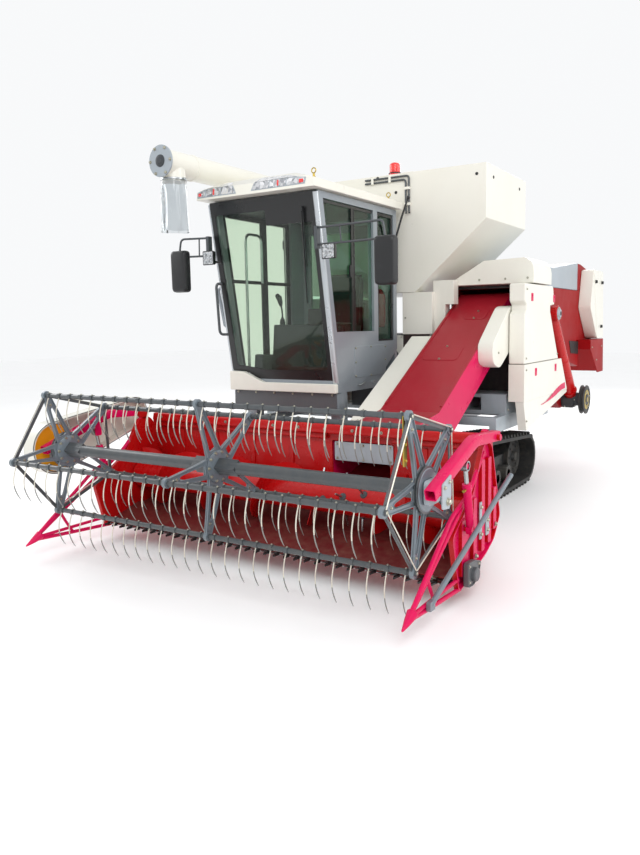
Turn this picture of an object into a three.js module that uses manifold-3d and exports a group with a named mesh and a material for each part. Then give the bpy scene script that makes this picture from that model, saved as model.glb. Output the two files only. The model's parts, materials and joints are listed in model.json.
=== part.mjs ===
// Tracked rice combine harvester, built from separate named pieces.
// Units are millimetres, +Z is up, the machine faces -Y and its left side is +X.
import * as THREE from 'three';
import { mergeVertices } from 'three/addons/utils/BufferGeometryUtils.js';
import Module from 'manifold-3d';

// ---- Driving dimensions ------------------------------------------------------------------

const TOUCH = 0.3;                 // gap between pieces that touch
const RUN = 0.6;                   // gap round a shaft that turns
const BORE_GAP = RUN + 0.4;        // the same in a many-sided bore, whose flats come closer

// Running gear
const TRACK_MID = -50;             // x of the middle of the running gear
const TRACK_GAUGE = 1200;
const TRACK_WIDTH = 500;
const BELT = 32;                   // rubber carcass thickness
const LUG = 28;                    // height of a shoe
const SHOE_PITCH = 90;
const SPROCKET = { y: -760, z: 385, r: 180 };
const IDLER = { y: 840, r: 190 };
const ROLLER = { first: -600, last: 560, count: 5, r: 80 };
const CARRIER = { y: 60, r: 55 };

// Chassis
const RAIL = { x: [-200, 100], width: 80, z0: 580, z1: 680, front: -1000, rear: 2200 };
const DECK = { z0: 690, z1: 750, right: -1200, left: 830, depth: 80 };
const DECK_BEAMS = [-940, -150, 560, 1280];
const LEG = { y: [-455, 415], r: 45, z: 240, plate: 60 };

// Header and reel
const HEADER_HALF = 1425;          // half width over the side plates
const SIDE_PLATE = 30;
const SHEET = 12;                  // wall of the sheet metal bodies
const AUGER = { y: -1990, z: 420, r: 205, drum: 100, pitch: 450, flight: 8 };
const AUGER_GAP = 16;
const KNIFE_Y = -2300;
const GUARD = { count: 36, length: 70, width: 26 };
const MOUTH = { x0: 240, x1: 690, z0: 440, z1: 760 };
const BACK_TOP = 880;
const REEL = { y: -2670, z: 718, r: 418, spider: 1360, shaft: 28, bar: 15.2, phase: -21 };
const TINES = { count: 26, span: 2640, length: 250, width: 7 };
const REEL_PIVOT = { y: -1935, z: 889 };
const ARM = { bend: [-2230, 912], tip: [-2790, 720], size: 60, inner: 1428 };

// Feeder house
const FEED_PIVOT = { y: 420, z: 1585 };
const FEED_ANGLE = 30;
const FEED = { x0: 230, x1: 725, top: 145, under: 145, end: 190, length: 1670 };

// Cab
const CAB = { x0: -1245, x1: -186, rear: 20, floor: 1000, top: 2556, sill: 1460 };
const CAB_FRONT = { low: -1000, high: -1242, z: 1080 };   // y at height z and at the top
const POST = 60;
const GLASS = 6;

// Grain tank, thresher and rear
const TANK = { x0: -1200, x1: 625, y0: 135, y1: 1195, shoulder: 2441, top: 2900, foot: 1830 };
const TANK_WALL = 20;
const THRESHER = { x0: 160, x1: 860, front: 460, top: 1880, bottom: 760, rear: 2320 };
const COVER_X = 1000;              // outer face of the left side covers
const REAR_END = 3060;
const UNLOADER = { x: -1350, y: 1390, z: 2830, r: 100, riser: 115, tip: -1670 };

// ---- Solids ------------------------------------------------------------------------------

const wasm = await Module();
wasm.setup();

// A closed geometry as a solid that can be joined and cut.
function solid(geometry) {
  const bare = geometry.clone();
  bare.deleteAttribute('normal');
  bare.deleteAttribute('uv');
  const merged = mergeVertices(bare, 1e-3);
  const index = merged.index.array;
  const kept = [];
  for (let i = 0; i < index.length; i += 3) {
    const [a, b, c] = [index[i], index[i + 1], index[i + 2]];
    if (a !== b && b !== c && c !== a) kept.push(a, b, c);
  }
  return new wasm.Manifold(new wasm.Mesh({
    numProp: 3,
    vertProperties: merged.attributes.position.array,
    triVerts: new Uint32Array(kept),
  }));
}

function geometryOf(manifold) {
  const { vertProperties, triVerts } = manifold.getMesh();
  const geometry = new THREE.BufferGeometry();
  geometry.setAttribute('position', new THREE.BufferAttribute(vertProperties, 3));
  geometry.setIndex(new THREE.BufferAttribute(triVerts, 1));
  geometry.computeVertexNormals();
  return geometry;
}

const join = (...shapes) => geometryOf(shapes.flat().map(solid).reduce((all, one) => all.add(one)));
const cut = (shape, ...tools) =>
  geometryOf(tools.flat().map(solid).reduce((rest, one) => rest.subtract(one), solid(shape)));

function box([x0, x1], [y0, y1], [z0, z1]) {
  const block = new THREE.BoxGeometry(x1 - x0, y1 - y0, z1 - z0);
  return block.translate((x0 + x1) / 2, (y0 + y1) / 2, (z0 + z1) / 2);
}

// An outline pushed along one axis. The outline is given as [y, z] for x, [x, z] for y, [x, y] for z.
const PLANES = {
  x: new THREE.Matrix4().makeBasis(
    new THREE.Vector3(0, 1, 0), new THREE.Vector3(0, 0, 1), new THREE.Vector3(1, 0, 0)),
  y: new THREE.Matrix4().makeBasis(
    new THREE.Vector3(1, 0, 0), new THREE.Vector3(0, 0, 1), new THREE.Vector3(0, -1, 0)),
  z: new THREE.Matrix4(),
};
function prism(axis, outline, from, to, holes = []) {
  const points = (list) => list.map(([u, v]) => new THREE.Vector2(u, v));
  const shape = new THREE.Shape(points(outline));
  shape.holes = holes.map((hole) => new THREE.Path(points(hole)));
  const body = new THREE.ExtrudeGeometry(shape, { depth: to - from, bevelEnabled: false });
  body.applyMatrix4(PLANES[axis]);
  const start = { x: [from, 0, 0], y: [0, to, 0], z: [0, 0, from] }[axis];
  return body.translate(...start);
}

const UP = new THREE.Vector3(0, 1, 0);
function rod(a, b, radius, sides = 12, endRadius = radius) {
  const from = new THREE.Vector3(...a);
  const along = new THREE.Vector3(...b).sub(from);
  const body = new THREE.CylinderGeometry(endRadius, radius, along.length(), sides);
  body.translate(0, along.length() / 2, 0);
  body.applyQuaternion(new THREE.Quaternion().setFromUnitVectors(UP, along.normalize()));
  return body.translate(...a);
}
const axle = (x0, x1, y, z, radius, sides = 20) => rod([x0, y, z], [x1, y, z], radius, sides);

// Straight tubes that meet at rounded corners.
function bentRod(points, radius, sides = 10) {
  const parts = points.slice(1).map((point, i) => rod(points[i], point, radius, sides));
  const corners = points.slice(1, -1).map((corner) =>
    new THREE.SphereGeometry(radius * 1.03, sides, 3).translate(...corner));
  return [...parts, ...corners];
}

// Points of an arc in an outline, in degrees from the first axis.
function arc(cu, cv, radius, from, to, steps) {
  return Array.from({ length: steps + 1 }, (_, i) => {
    const angle = THREE.MathUtils.degToRad(from + ((to - from) * i) / steps);
    return [cu + radius * Math.cos(angle), cv + radius * Math.sin(angle)];
  });
}

// An outline with each corner rounded by an arc-like curve of a few points.
function rounded(outline, radius, steps = 4) {
  return outline.flatMap(([u, v], i) => {
    const before = outline.at(i - 1);
    const after = outline[(i + 1) % outline.length];
    const toward = ([pu, pv]) => {
      const length = Math.hypot(pu - u, pv - v);
      const reach = Math.min(radius, length * 0.45);
      return [u + ((pu - u) * reach) / length, v + ((pv - v) * reach) / length];
    };
    const [a, b] = [toward(before), toward(after)];
    return Array.from({ length: steps + 1 }, (_, k) => {
      const t = k / steps;
      return [0, 1].map((n) => a[n] * (1 - t) ** 2 + 2 * [u, v][n] * t * (1 - t) + b[n] * t ** 2);
    });
  });
}

// ---- The scene graph ---------------------------------------------------------------------

const machine = new THREE.Group();
function piece(name, geometry, color, roughness = 0.45, metalness = 0.1, group = machine) {
  const material = new THREE.MeshStandardMaterial({ color, roughness, metalness });
  const mesh = new THREE.Mesh(geometry, material);
  mesh.name = name;
  group.add(mesh);
  return mesh;
}

const CREAM = 0xeeece0;
const RED = 0xb01018;
const PINK = 0xd81a50;
const GREY = 0x5b6166;
const PALE_GREY = 0xa9b1b6;
const DARK = 0x23262a;
const BLACK = 0x111214;
const STEEL = 0x8d9498;

// ---- Tracks ------------------------------------------------------------------------------

// The loop of a belt laid round wheels listed anticlockwise in the y-z plane.
function beltLoop(wheels) {
  const tangents = wheels.map((wheel, i) => {
    const next = wheels[(i + 1) % wheels.length];
    const [dy, dz] = [next.y - wheel.y, next.z - wheel.z];
    const length = Math.hypot(dy, dz);
    const lean = Math.acos((wheel.r - next.r) / length);
    const angle = Math.atan2(dz, dy) - lean;
    return { angle, run: length * Math.sin(lean) };
  });
  const spans = [];
  wheels.forEach((wheel, i) => {
    const start = tangents.at(i - 1).angle;
    let turn = tangents[i].angle - start;
    while (turn < 0) turn += 2 * Math.PI;
    spans.push({ wheel, start, turn, length: turn * wheel.r });
    spans.push({ wheel, start: tangents[i].angle, turn: 0, length: tangents[i].run });
  });
  const total = spans.reduce((sum, span) => sum + span.length, 0);
  // The point at distance s along the loop, pushed out from it.
  const at = (s, out) => {
    let left = ((s % total) + total) % total;
    const span = spans.find((one) => (left -= one.length) < 0) ?? spans.at(-1);
    const into = left + span.length;
    const angle = span.start + (span.turn ? into / span.wheel.r : 0);
    const along = span.turn ? 0 : into;
    const reach = span.wheel.r + out;
    return [
      span.wheel.y + reach * Math.cos(angle) - along * Math.sin(angle),
      span.wheel.z + reach * Math.sin(angle) + along * Math.cos(angle),
    ];
  };
  return { spans, total, at };
}

const groundInner = LUG + BELT;
const idler = { ...IDLER, z: groundInner + IDLER.r };
const frontRoller = { y: ROLLER.first, z: groundInner + ROLLER.r, r: ROLLER.r };
const loop = beltLoop([SPROCKET, frontRoller, idler]);
const shoes = Math.round(loop.total / SHOE_PITCH);

function trackOutline() {
  const shoePoints = [[0.14, 0], [0.24, LUG], [0.62, LUG], [0.72, 0]];
  return Array.from({ length: shoes }, (_, i) => shoePoints.map(([share, out]) =>
    loop.at(((i + share) * loop.total) / shoes, BELT + out))).flat();
}

function trackHole() {
  let s = 0;
  return loop.spans.flatMap((span) => {
    const steps = span.turn ? Math.ceil(span.turn / 0.26) : 0;
    const from = s;
    s += span.length;
    return Array.from({ length: steps + 1 }, (_, i) =>
      loop.at(from + (span.length * i) / Math.max(steps, 1) * (steps ? 1 : 0), 0));
  });
}

// Height of the underside of the top run at y.
function topRun(y) {
  const slope = (idler.z + idler.r - SPROCKET.z - SPROCKET.r) / (idler.y - SPROCKET.y);
  return SPROCKET.z + SPROCKET.r + slope * (y - SPROCKET.y);
}

const WHEEL_GAP = 4;
function trackFrame(x) {
  const rollers = Array.from({ length: ROLLER.count }, (_, i) => {
    const y = ROLLER.first + ((ROLLER.last - ROLLER.first) * i) / (ROLLER.count - 1);
    const r = ROLLER.r - 1.5;
    return axle(x - 150, x + 150, y, groundInner + r + TOUCH, r, 16);
  });
  const carrierZ = topRun(CARRIER.y) - CARRIER.r - WHEEL_GAP;
  return join(
    box([x - 55, x + 55], [ROLLER.first + 30, IDLER.y - 120], [170, 300]),
    ...rollers,
    box([x - 25, x + 25], [CARRIER.y - 40, CARRIER.y + 40], [280, carrierZ]),
    axle(x - 90, x + 90, CARRIER.y, carrierZ, CARRIER.r, 14),
    box([x - 40, x + 40], [IDLER.y - 140, IDLER.y + 40], [idler.z - 45, idler.z + 45]),
    axle(x - 70, x + 70, idler.y, idler.z, idler.r - WHEEL_GAP, 24),
  );
}

const sides = [['left', 1], ['right', -1]];
for (const [side, sign] of sides) {
  const x = TRACK_MID + (sign * TRACK_GAUGE) / 2;
  const belt = prism('x', trackOutline(), x - TRACK_WIDTH / 2, x + TRACK_WIDTH / 2, [trackHole()]);
  piece(`track_${side}`, geometryOf(solid(belt)), BLACK, 0.9, 0);
  piece(`track_frame_${side}`, trackFrame(x), DARK, 0.6, 0.4);
}

function driveAxle() {
  const reach = TRACK_GAUGE / 2;
  const sprockets = [-1, 1].map((sign) => axle(
    TRACK_MID + sign * reach - 40, TRACK_MID + sign * reach + 40,
    SPROCKET.y, SPROCKET.z, SPROCKET.r - WHEEL_GAP, 20));
  const housing = box([RAIL.x[0] - RAIL.width / 2, RAIL.x[1] + RAIL.width / 2],
    [SPROCKET.y - 110, SPROCKET.y + 110], [290, RAIL.z0 - TOUCH]);
  const casing = axle(TRACK_MID - reach, TRACK_MID + reach, SPROCKET.y, SPROCKET.z, 62, 16);
  return join(housing, casing, ...sprockets);
}
piece('drive_axle', driveAxle(), DARK, 0.5, 0.5);

// ---- Chassis -----------------------------------------------------------------------------

const LIFT_X = 245;                // line of the header lift cylinder
const LIFT_BASE = { y: -250, z: 470 };
const LIFT_EYE = { y: -760, z: 640 };
const EYE = 34;                    // half the space between a pin's ears
const EAR = 8;
const PIN = 15;

// Front of the cleaning fan: a sheet box with its air inlet.
const FAN = { x0: 440, x1: 828, y0: 100, y1: 440, z1: 925, inlet: 160, rim: 30 };
const fanHousing = box([FAN.x0, FAN.x1], [FAN.y0, FAN.y1], [DECK.z1 - 1, FAN.z1]);

// Two treads below the cab door, hung from the deck.
function accessStep() {
  const out = DECK.right - 190;
  const ends = [-770, -390];
  return [
    ...[380, 640].map((z) => box([out, out + 150], [ends[0] + 5, ends[1] + 15], [z, z + 30])),
    ...ends.map((y) => box([out, out + 30], [y, y + 20], [380, DECK.z1])),
    ...ends.map((y) => box([out, DECK.right + 5], [y, y + 20], [DECK.z1 - 40, DECK.z1])),
  ];
}

function chassisFrame() {
  const rails = RAIL.x.map((x) =>
    box([x - RAIL.width / 2, x + RAIL.width / 2], [RAIL.front, RAIL.rear], [RAIL.z0, RAIL.z1]));
  const beams = DECK_BEAMS.map((y) => {
    const left = y < DECK_BEAMS[1] ? RAIL.x[1] + RAIL.width / 2 : DECK.left;
    return box([DECK.right, left], [y, y + DECK.depth], [RAIL.z1 - 1, DECK.z1]);
  });
  const ledges = [
    box([DECK.left - 60, DECK.left], [DECK_BEAMS[1], DECK_BEAMS[3] + DECK.depth], [622, DECK.z1]),
    box([DECK.right, DECK.right + 60], [DECK_BEAMS[0], RAIL.rear - 100], [DECK.z0, DECK.z1]),
  ];
  const legs = LEG.y.flatMap((y) => {
    const reach = TRACK_GAUGE / 2 - 55 - TOUCH;
    const plates = RAIL.x.map((x) =>
      box([x - LEG.plate / 2, x + LEG.plate / 2], [y - 60, y + 60], [LEG.z, RAIL.z0 + 1]));
    return [axle(TRACK_MID - reach, TRACK_MID + reach, y, LEG.z, LEG.r, 14), ...plates];
  });
  const tail = box([DECK.right, RAIL.x[1] + 40], [RAIL.rear - 100, RAIL.rear], [RAIL.z0 + 10, DECK.z1]);
  // Bracket of the lift cylinder: two ears on a plate, with the pin through them.
  const inner = RAIL.x[1] + RAIL.width / 2;
  const ears = [-1, 1].map((sign) => {
    const x = LIFT_X + sign * (EYE + EAR / 2);
    return box([x - EAR / 2, x + EAR / 2], [LIFT_BASE.y - 35, LIFT_BASE.y + 75],
      [LIFT_BASE.z - 35, RAIL.z0 + 30]);
  });
  const bracket = [
    box([inner - 1, LIFT_X + EYE + EAR], [LIFT_BASE.y + 60, LIFT_BASE.y + 75],
      [LIFT_BASE.z - 35, RAIL.z0 + 60]),
    ...ears,
    axle(LIFT_X - EYE - 4, LIFT_X + EYE + 4, LIFT_BASE.y, LIFT_BASE.z, PIN, 16),
  ];
  return cut(
    join(...rails, ...beams, ...ledges, ...legs, tail, ...bracket, fanHousing, ...accessStep()),
    box([FAN.x0 + SHEET, FAN.x0 + FAN.inlet], [FAN.y0 - 10, FAN.y1 - SHEET],
      [DECK.z1 + FAN.rim, FAN.z1 - FAN.rim]));
}
piece('chassis_frame', chassisFrame(), PALE_GREY, 0.5, 0.3);

// ---- Engine bay and fuel tank ------------------------------------------------------------

const ENGINE = { x0: -820, x1: -330, y0: 240, y1: 1060, z1: 1450 };
piece('engine_block', box(
  [ENGINE.x0, ENGINE.x1], [ENGINE.y0, ENGINE.y1], [DECK.z1 + TOUCH, ENGINE.z1]), DARK, 0.6, 0.5);

const BAY = { x0: -1200, x1: -900, y0: 60, y1: 1140, z1: 1800, rim: 30 };
piece('radiator_cover', cut(
  box([BAY.x0, BAY.x1], [BAY.y0, BAY.y1], [DECK.z1 + TOUCH, BAY.z1]),
  box([BAY.x0 + 40, BAY.x1 + 10], [BAY.y0 + BAY.rim, BAY.y1 - BAY.rim],
    [DECK.z1 + BAY.rim, BAY.z1 - BAY.rim]),
), CREAM);

const FUEL = { x0: -1190, x1: -460, y0: 1560, y1: 2170, z1: 1330 };
piece('fuel_tank', join(
  prism('y', rounded([
    [FUEL.x0, DECK.z1 + TOUCH], [FUEL.x1, DECK.z1 + TOUCH], [FUEL.x1, FUEL.z1], [FUEL.x0, FUEL.z1],
  ], 60, 3), FUEL.y0, FUEL.y1),
  rod([FUEL.x0 + 130, FUEL.y0 + 120, FUEL.z1 - 5], [FUEL.x0 + 130, FUEL.y0 + 120, FUEL.z1 + 45], 45, 16),
), DARK, 0.5, 0.2);

// ---- Thresher ----------------------------------------------------------------------------

const FEED_MOUTH = { z0: 1370, z1: 1850, depth: 320 };
const STRAW_WAY = [1350, 1850];    // heights of the way from the thresher to the straw outlet
const SHAFT = 30;
const CHEEK = 40;                  // thickness of a plate that holds the feeder's shaft
const CHEEK_IN = 60;               // how far the left one stands in from the side
const CHEEK_HALF = 90;

function thresherBody() {
  const { x0, x1, front, top, bottom, rear } = THRESHER;
  const outline = [
    [front, bottom], [1480, bottom], [1700, 640], [1890, 640], [1960, 1120], [2400, 1040],
    [2400, 1250], [rear, 1330], [rear, top], [front, top],
  ];
  const cheeks = [x0, x1 - CHEEK - CHEEK_IN].map((x) =>
    box([x, x + CHEEK], [FEED_PIVOT.y - 80, front + 5],
      [FEED_PIVOT.z - CHEEK_HALF, FEED_PIVOT.z + CHEEK_HALF]));
  const feet = box([x0 + 20, x1 - 40], [600, 1400], [DECK.z1 + TOUCH, bottom + 5]);
  const shape = join(prism('x', outline, x0, x1), ...cheeks, feet);
  const cheekIn = [x0 + CHEEK, x1 - CHEEK - CHEEK_IN];
  const [low, back] = [bottom + SHEET, rear - SHEET];
  const inside = prism('x', [
    [front + SHEET, low], [1484, low], [1704, 652], [1880, 652], [1948, 1136], [back, 1070],
    [back, top - SHEET], [front + SHEET, top - SHEET],
  ], x0 + SHEET, x1 - SHEET);
  const wayOut = box([x0 + SHEET, x1 - SHEET], [back - 5, rear + 5], STRAW_WAY);
  return cut(shape, inside, wayOut,
    box(cheekIn, [front - 200, front + FEED_MOUTH.depth], [FEED_MOUTH.z0, FEED_MOUTH.z1]),
    axle(x0 - 5, x1 - 55, FEED_PIVOT.y, FEED_PIVOT.z, SHAFT + BORE_GAP, 24));
}
piece('thresher_body', thresherBody(), RED, 0.4, 0.1);

const HOOD_OUT = COVER_X - 2;
function thresherHood() {
  const z = THRESHER.top + TOUCH;
  const top = [
    [THRESHER.x0 + 40, z], [THRESHER.x0 + 60, z + 30], [540, 2090], [880, 2100],
    ...arc(HOOD_OUT - 120, 1985, 120, 80, 0, 4), [HOOD_OUT, z],
  ];
  return prism('y', top, 300, 830);
}
piece('thresher_hood', geometryOf(solid(thresherHood())), CREAM);

// Left side covers: thick sheet boxes with a front return, split where the real ones part.
const COVER = { split: 1190, top: 1870, bottom: 615, x0: THRESHER.x1 + TOUCH };
piece('thresher_cover_upper', prism('x', [
  [60, COVER.split + 2], [1095, COVER.split + 2], [800, 1640], [800, 1690], [930, 1700], [880, COVER.top],
  [60, COVER.top], [60, 1720], [110, 1690], [110, 1640], [60, 1610],
], COVER.x0, COVER_X), CREAM);
piece('thresher_cover_lower', join(
  prism('x', [
    [60, 870], [1430, 870], [1200, COVER.split - 2], [60, COVER.split - 2],
  ], COVER.x0, COVER_X),
  prism('x', [[60, 880], [150, COVER.bottom], [1440, 840], [1430, 880]], COVER.x0 + 60, COVER_X - 5),
), CREAM);

// Tail: grey roof, cream belt guard and the red straw outlet.
const hoodOutline = (inset, low) => [
  [840 + inset, low], [THRESHER.rear - 1 - inset, low], [THRESHER.rear - 1 - inset, 2180 - inset],
  [1380, 2075 - inset], [840 + inset, 2075 - inset],
];
piece('rear_hood', cut(
  prism('x', hoodOutline(0, THRESHER.top + TOUCH), THRESHER.x0 + 100, THRESHER.x1),
  prism('x', hoodOutline(SHEET, THRESHER.top - 5), THRESHER.x0 + 100 + SHEET, THRESHER.x1 - SHEET),
), PALE_GREY);

const OUTLET = { x0: -60, x1: 995, z0: 950, z1: 1330 };
function strawOutlet() {
  const tower = prism('x', [
    [THRESHER.rear + TOUCH, 1335], [REAR_END - 60, 1335], [REAR_END - 60, 2090], [2420, 2170],
    [THRESHER.rear + TOUCH, 2170],
  ], THRESHER.x0, THRESHER.x1);
  const skirt = prism('x', [
    [2420, 1336], [REAR_END - 30, 1336], [REAR_END, OUTLET.z0], [2790, OUTLET.z0], [2420, 1230],
  ], THRESHER.x0 - 140, OUTLET.x1);
  const hollow = prism('x', [
    [2460, 1300], [REAR_END - 70, 1300], [REAR_END - 40, OUTLET.z0 - 20], [2800, OUTLET.z0 - 20],
  ], THRESHER.x0 - 120, OUTLET.x1 - SHEET);
  const mouth = box([THRESHER.x0 + SHEET, THRESHER.x1 - 30], [2460, REAR_END - 90], [1200, 2000]);
  const wayIn = box([THRESHER.x0 + SHEET, THRESHER.x1 - 30], [THRESHER.rear - 5, 2470], STRAW_WAY);
  return cut(join(tower, skirt), hollow, mouth, wayIn);
}
piece('straw_outlet', strawOutlet(), RED, 0.4, 0.1);

piece('rear_guard', prism('x', rounded([
  [2360, 1690], [2480, 2115], [2940, 2110], [3010, 1345], [2700, 1345],
], 40, 2), THRESHER.x1 + TOUCH, COVER_X), CREAM);

// Return tube for the tailings with its gearbox and pulley.
const TAILINGS = { x: 950, foot: [1800, 750], head: [985, 1620], r: 62 };
piece('tailings_tube', join(
  rod([TAILINGS.x, ...TAILINGS.foot], [TAILINGS.x, ...TAILINGS.head], TAILINGS.r, 16),
  axle(TAILINGS.x - 70, TAILINGS.x + 75, ...TAILINGS.head, 74, 18),
  axle(THRESHER.x1 + TOUCH, TAILINGS.x + 110, TAILINGS.foot[0], TAILINGS.foot[1] - 20, 80, 18),
  axle(TAILINGS.x + 100, TAILINGS.x + 170, TAILINGS.foot[0], TAILINGS.foot[1] - 20, 150, 24),
), RED, 0.4, 0.1);

// ---- Grain tank --------------------------------------------------------------------------

function tankOutline(inset) {
  const { x0, x1, shoulder, top, foot } = TANK;
  return [
    [x0 + inset, foot + inset], [-60 - inset * 0.4, foot + inset], [x1 - inset, shoulder + inset * 0.4],
    [x1 - inset, top - inset], [x0 + inset, top - inset],
  ];
}
const HATCH = { x0: -640, x1: 60, y0: 430, y1: 900 };
function grainTank() {
  const shell = prism('y', tankOutline(0), TANK.y0, TANK.y1);
  const inside = prism('y', tankOutline(TANK_WALL), TANK.y0 + TANK_WALL, TANK.y1 - TANK_WALL);
  const hole = box([HATCH.x0, HATCH.x1], [HATCH.y0, HATCH.y1], [TANK.top - 50, TANK.top + 30]);
  const rim = cut(
    box([HATCH.x0 - 12, HATCH.x1 + 12], [HATCH.y0 - 12, HATCH.y1 + 12], [TANK.top - 5, TANK.top + 14]),
    hole);
  const legs = [box([-1180, -1120], [1210 - 60, TANK.y1], [DECK.z1 + TOUCH, TANK.foot + 5])];
  return cut(join(shell, rim, ...legs), inside, hole);
}
piece('grain_tank', grainTank(), CREAM);
piece('tank_hatch', join(
  box([HATCH.x0 - 30, HATCH.x1 + 30], [HATCH.y0 - 30, HATCH.y1 + 30],
    [TANK.top + 14 + TOUCH, TANK.top + 24]),
  axle(HATCH.x0 + 100, HATCH.x1 - 100, HATCH.y1 + 34, TANK.top + 22, 8, 10),
), CREAM);

// Cream casing of the clean grain elevator, between the tank and the feeder.
piece('elevator_casing', join(
  prism('y', [
    [100, 1440], [FEED.x0 - 12, 1440], [FEED.x0 - 12, 1715], [300, 1715], [300, 1930], [100, 1930],
  ], 190, 295),
  box([-190, 112], [140, 290], [1450, TANK.foot - TOUCH]),
  box([20, THRESHER.x0 - 10], [280, 620], [DECK.z1 + TOUCH, 1500]),
), CREAM);

// ---- Unloading auger ---------------------------------------------------------------------

const SWIVEL_Z = 2560;
const SPOUT = 96;
const SLEEVE = { y: UNLOADER.tip + 125, top: 2716, low: 2300, r: 118, wall: 8 };
function unloaderRiser() {
  const { x, y, riser } = UNLOADER;
  return join(
    rod([x, y, 1180], [x, y, SWIVEL_Z], riser, 20),
    rod([x, y, SWIVEL_Z - 30], [x, y, SWIVEL_Z], riser + 28, 20),
    axle(x - 60, x + 320, y, 1300, 90, 16),
    box([x + 60, x + 340], [y - 100, y + 150], [DECK.z1 + TOUCH, 1330]),
    box([x - 20, TANK.x0 + 260], [TANK.y1 + TOUCH, y], [2200, 2300]),
  );
}
piece('unloader_riser', unloaderRiser(), CREAM);

function unloaderTube() {
  const { x, y, z, r, tip } = UNLOADER;
  return join(
    rod([x, y, SWIVEL_Z + TOUCH], [x, y, SWIVEL_Z + 30], r + 42, 20),
    rod([x, y, SWIVEL_Z + 10], [x, y, z], r + 8, 20),
    new THREE.SphereGeometry(r + 10, 12, 6).translate(x, y, z),
    rod([x, y, z], [x, tip, z], r, 20),
    rod([x, tip, z], [x, tip - 14, z], r + 32, 24),
    rod([x, SLEEVE.y, z], [x, SLEEVE.y, SLEEVE.top - 26], SPOUT, 20),
  );
}
piece('unloader_tube', unloaderTube(), CREAM);

// Clear plastic sleeve clamped round the spout.
piece('discharge_sleeve', cut(
  rod([UNLOADER.x, SLEEVE.y, SLEEVE.low], [UNLOADER.x, SLEEVE.y, SLEEVE.top], SLEEVE.r, 20,
    SPOUT + SLEEVE.wall),
  rod([UNLOADER.x, SLEEVE.y, SLEEVE.low - 5], [UNLOADER.x, SLEEVE.y, SLEEVE.top + 1],
    SLEEVE.r - SLEEVE.wall, 20, SPOUT + RUN),
), 0xdde2e6, 0.2, 0);

// ---- Cab ---------------------------------------------------------------------------------

const PANEL_SEAT = 16;             // how far the front panel's back stands before the frame

// y of the leaning front at height z.
const cabFront = (z) => CAB_FRONT.low +
  ((CAB_FRONT.high - CAB_FRONT.low) * (z - CAB_FRONT.z)) / (CAB.top - CAB_FRONT.z);

// Left window: one outline for the sliding pair and the quarter light behind it.
const SLIDER = { z0: CAB.sill + 30, z1: CAB.top - 50, rear: -400 };
const QUARTER = { z0: CAB.sill - 60, front: -330, rear: CAB.rear - POST };
const paneX = CAB.x1 - POST / 2;
function sideGlass(grow) {
  const { z0, z1, rear } = SLIDER;
  return [
    [cabFront(z0) + POST + 0.5 - grow, z0 + 0.5 - grow], [rear + 35, z0 + 0.5 - grow],
    [rear + 35, QUARTER.z0 + 0.5 - grow], [QUARTER.rear - 0.5 + grow, QUARTER.z0 + 0.5 - grow],
    [QUARTER.rear - 0.5 + grow, z1 - 0.5 + grow], [cabFront(z1) + POST + 0.5 - grow, z1 - 0.5 + grow],
  ];
}

function cabFrame() {
  const { x0, x1, rear, floor, top } = CAB;
  const lowZ = CAB_FRONT.z;
  const side = [
    [cabFront(lowZ), lowZ], [-360, lowZ - 30], [rear, 1320], [rear, top], [cabFront(top), top],
  ];
  const frontWindow = (z0, z1, y0, y1) => [[cabFront(z0) + y0, z0], [y1, z0], [y1, z1], [cabFront(z1) + y0, z1]];
  const slider = frontWindow(SLIDER.z0, SLIDER.z1, POST, SLIDER.rear);
  const quarter = [
    [QUARTER.front, QUARTER.z0], [QUARTER.rear, QUARTER.z0], [QUARTER.rear, SLIDER.z1], [QUARTER.front, SLIDER.z1],
  ];
  const left = prism('x', side, x1 - POST, x1, [slider, quarter]);
  const doorHole = frontWindow(1130, top - 50, POST, -210);
  const rightSide = [
    [cabFront(lowZ), lowZ], [rear, lowZ], [rear, top], [cabFront(top), top],
  ];
  const right = prism('x', rightSide, x0, x0 + POST, [doorHole]);
  const floorPlate = box([x0, x1], [CAB_FRONT.low - PANEL_SEAT + TOUCH, rear], [floor, lowZ + 20]);
  const rearWall = cut(
    box([x0 + 5, x1 - 5], [rear - 40, rear], [floor + 10, top]),
    box([x0 + 140, x1 - 140], [rear - 60, rear + 20], [1600, top - 160]));
  const headRail = prism('x', [
    [cabFront(top - 60), top - 60], [cabFront(top - 60) + POST, top - 60],
    [cabFront(top) + POST, top], [cabFront(top), top],
  ], x0 + 5, x1 - 5);
  const mounts = [[x0 + 40, x0 + 140], [x1 - 140, x1 - 40]].flatMap((span) => [
    box(span, [-900, -800], [DECK.z1 + TOUCH, floor + 5]),
    box(span, [-120, -20], [DECK.z1 + TOUCH, floor + 5]),
  ]);
  const nose = prism('x', [
    [CAB_FRONT.low - 20, floor - 140], [CAB_FRONT.low + 120, floor - 140], [CAB_FRONT.low + 120, floor + 5],
    [CAB_FRONT.low - 20, floor - 8],
  ], x0, x1);
  const handle = bentRod([
    [x0 + 20, cabFront(1900) + 25, 1900], [x0 - 70, cabFront(1860) + 15, 1860],
    [x0 - 50, cabFront(1560) + 15, 1560], [x0 + 20, cabFront(1500) + 25, 1500],
  ], 14, 10);
  return cut(join(left, right, floorPlate, rearWall, headRail, ...mounts, nose, ...handle),
    prism('x', sideGlass(0.5), paneX - 0.5, paneX + GLASS + 0.5));
}
piece('cab_frame', cabFrame(), GREY, 0.4, 0.4);

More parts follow.
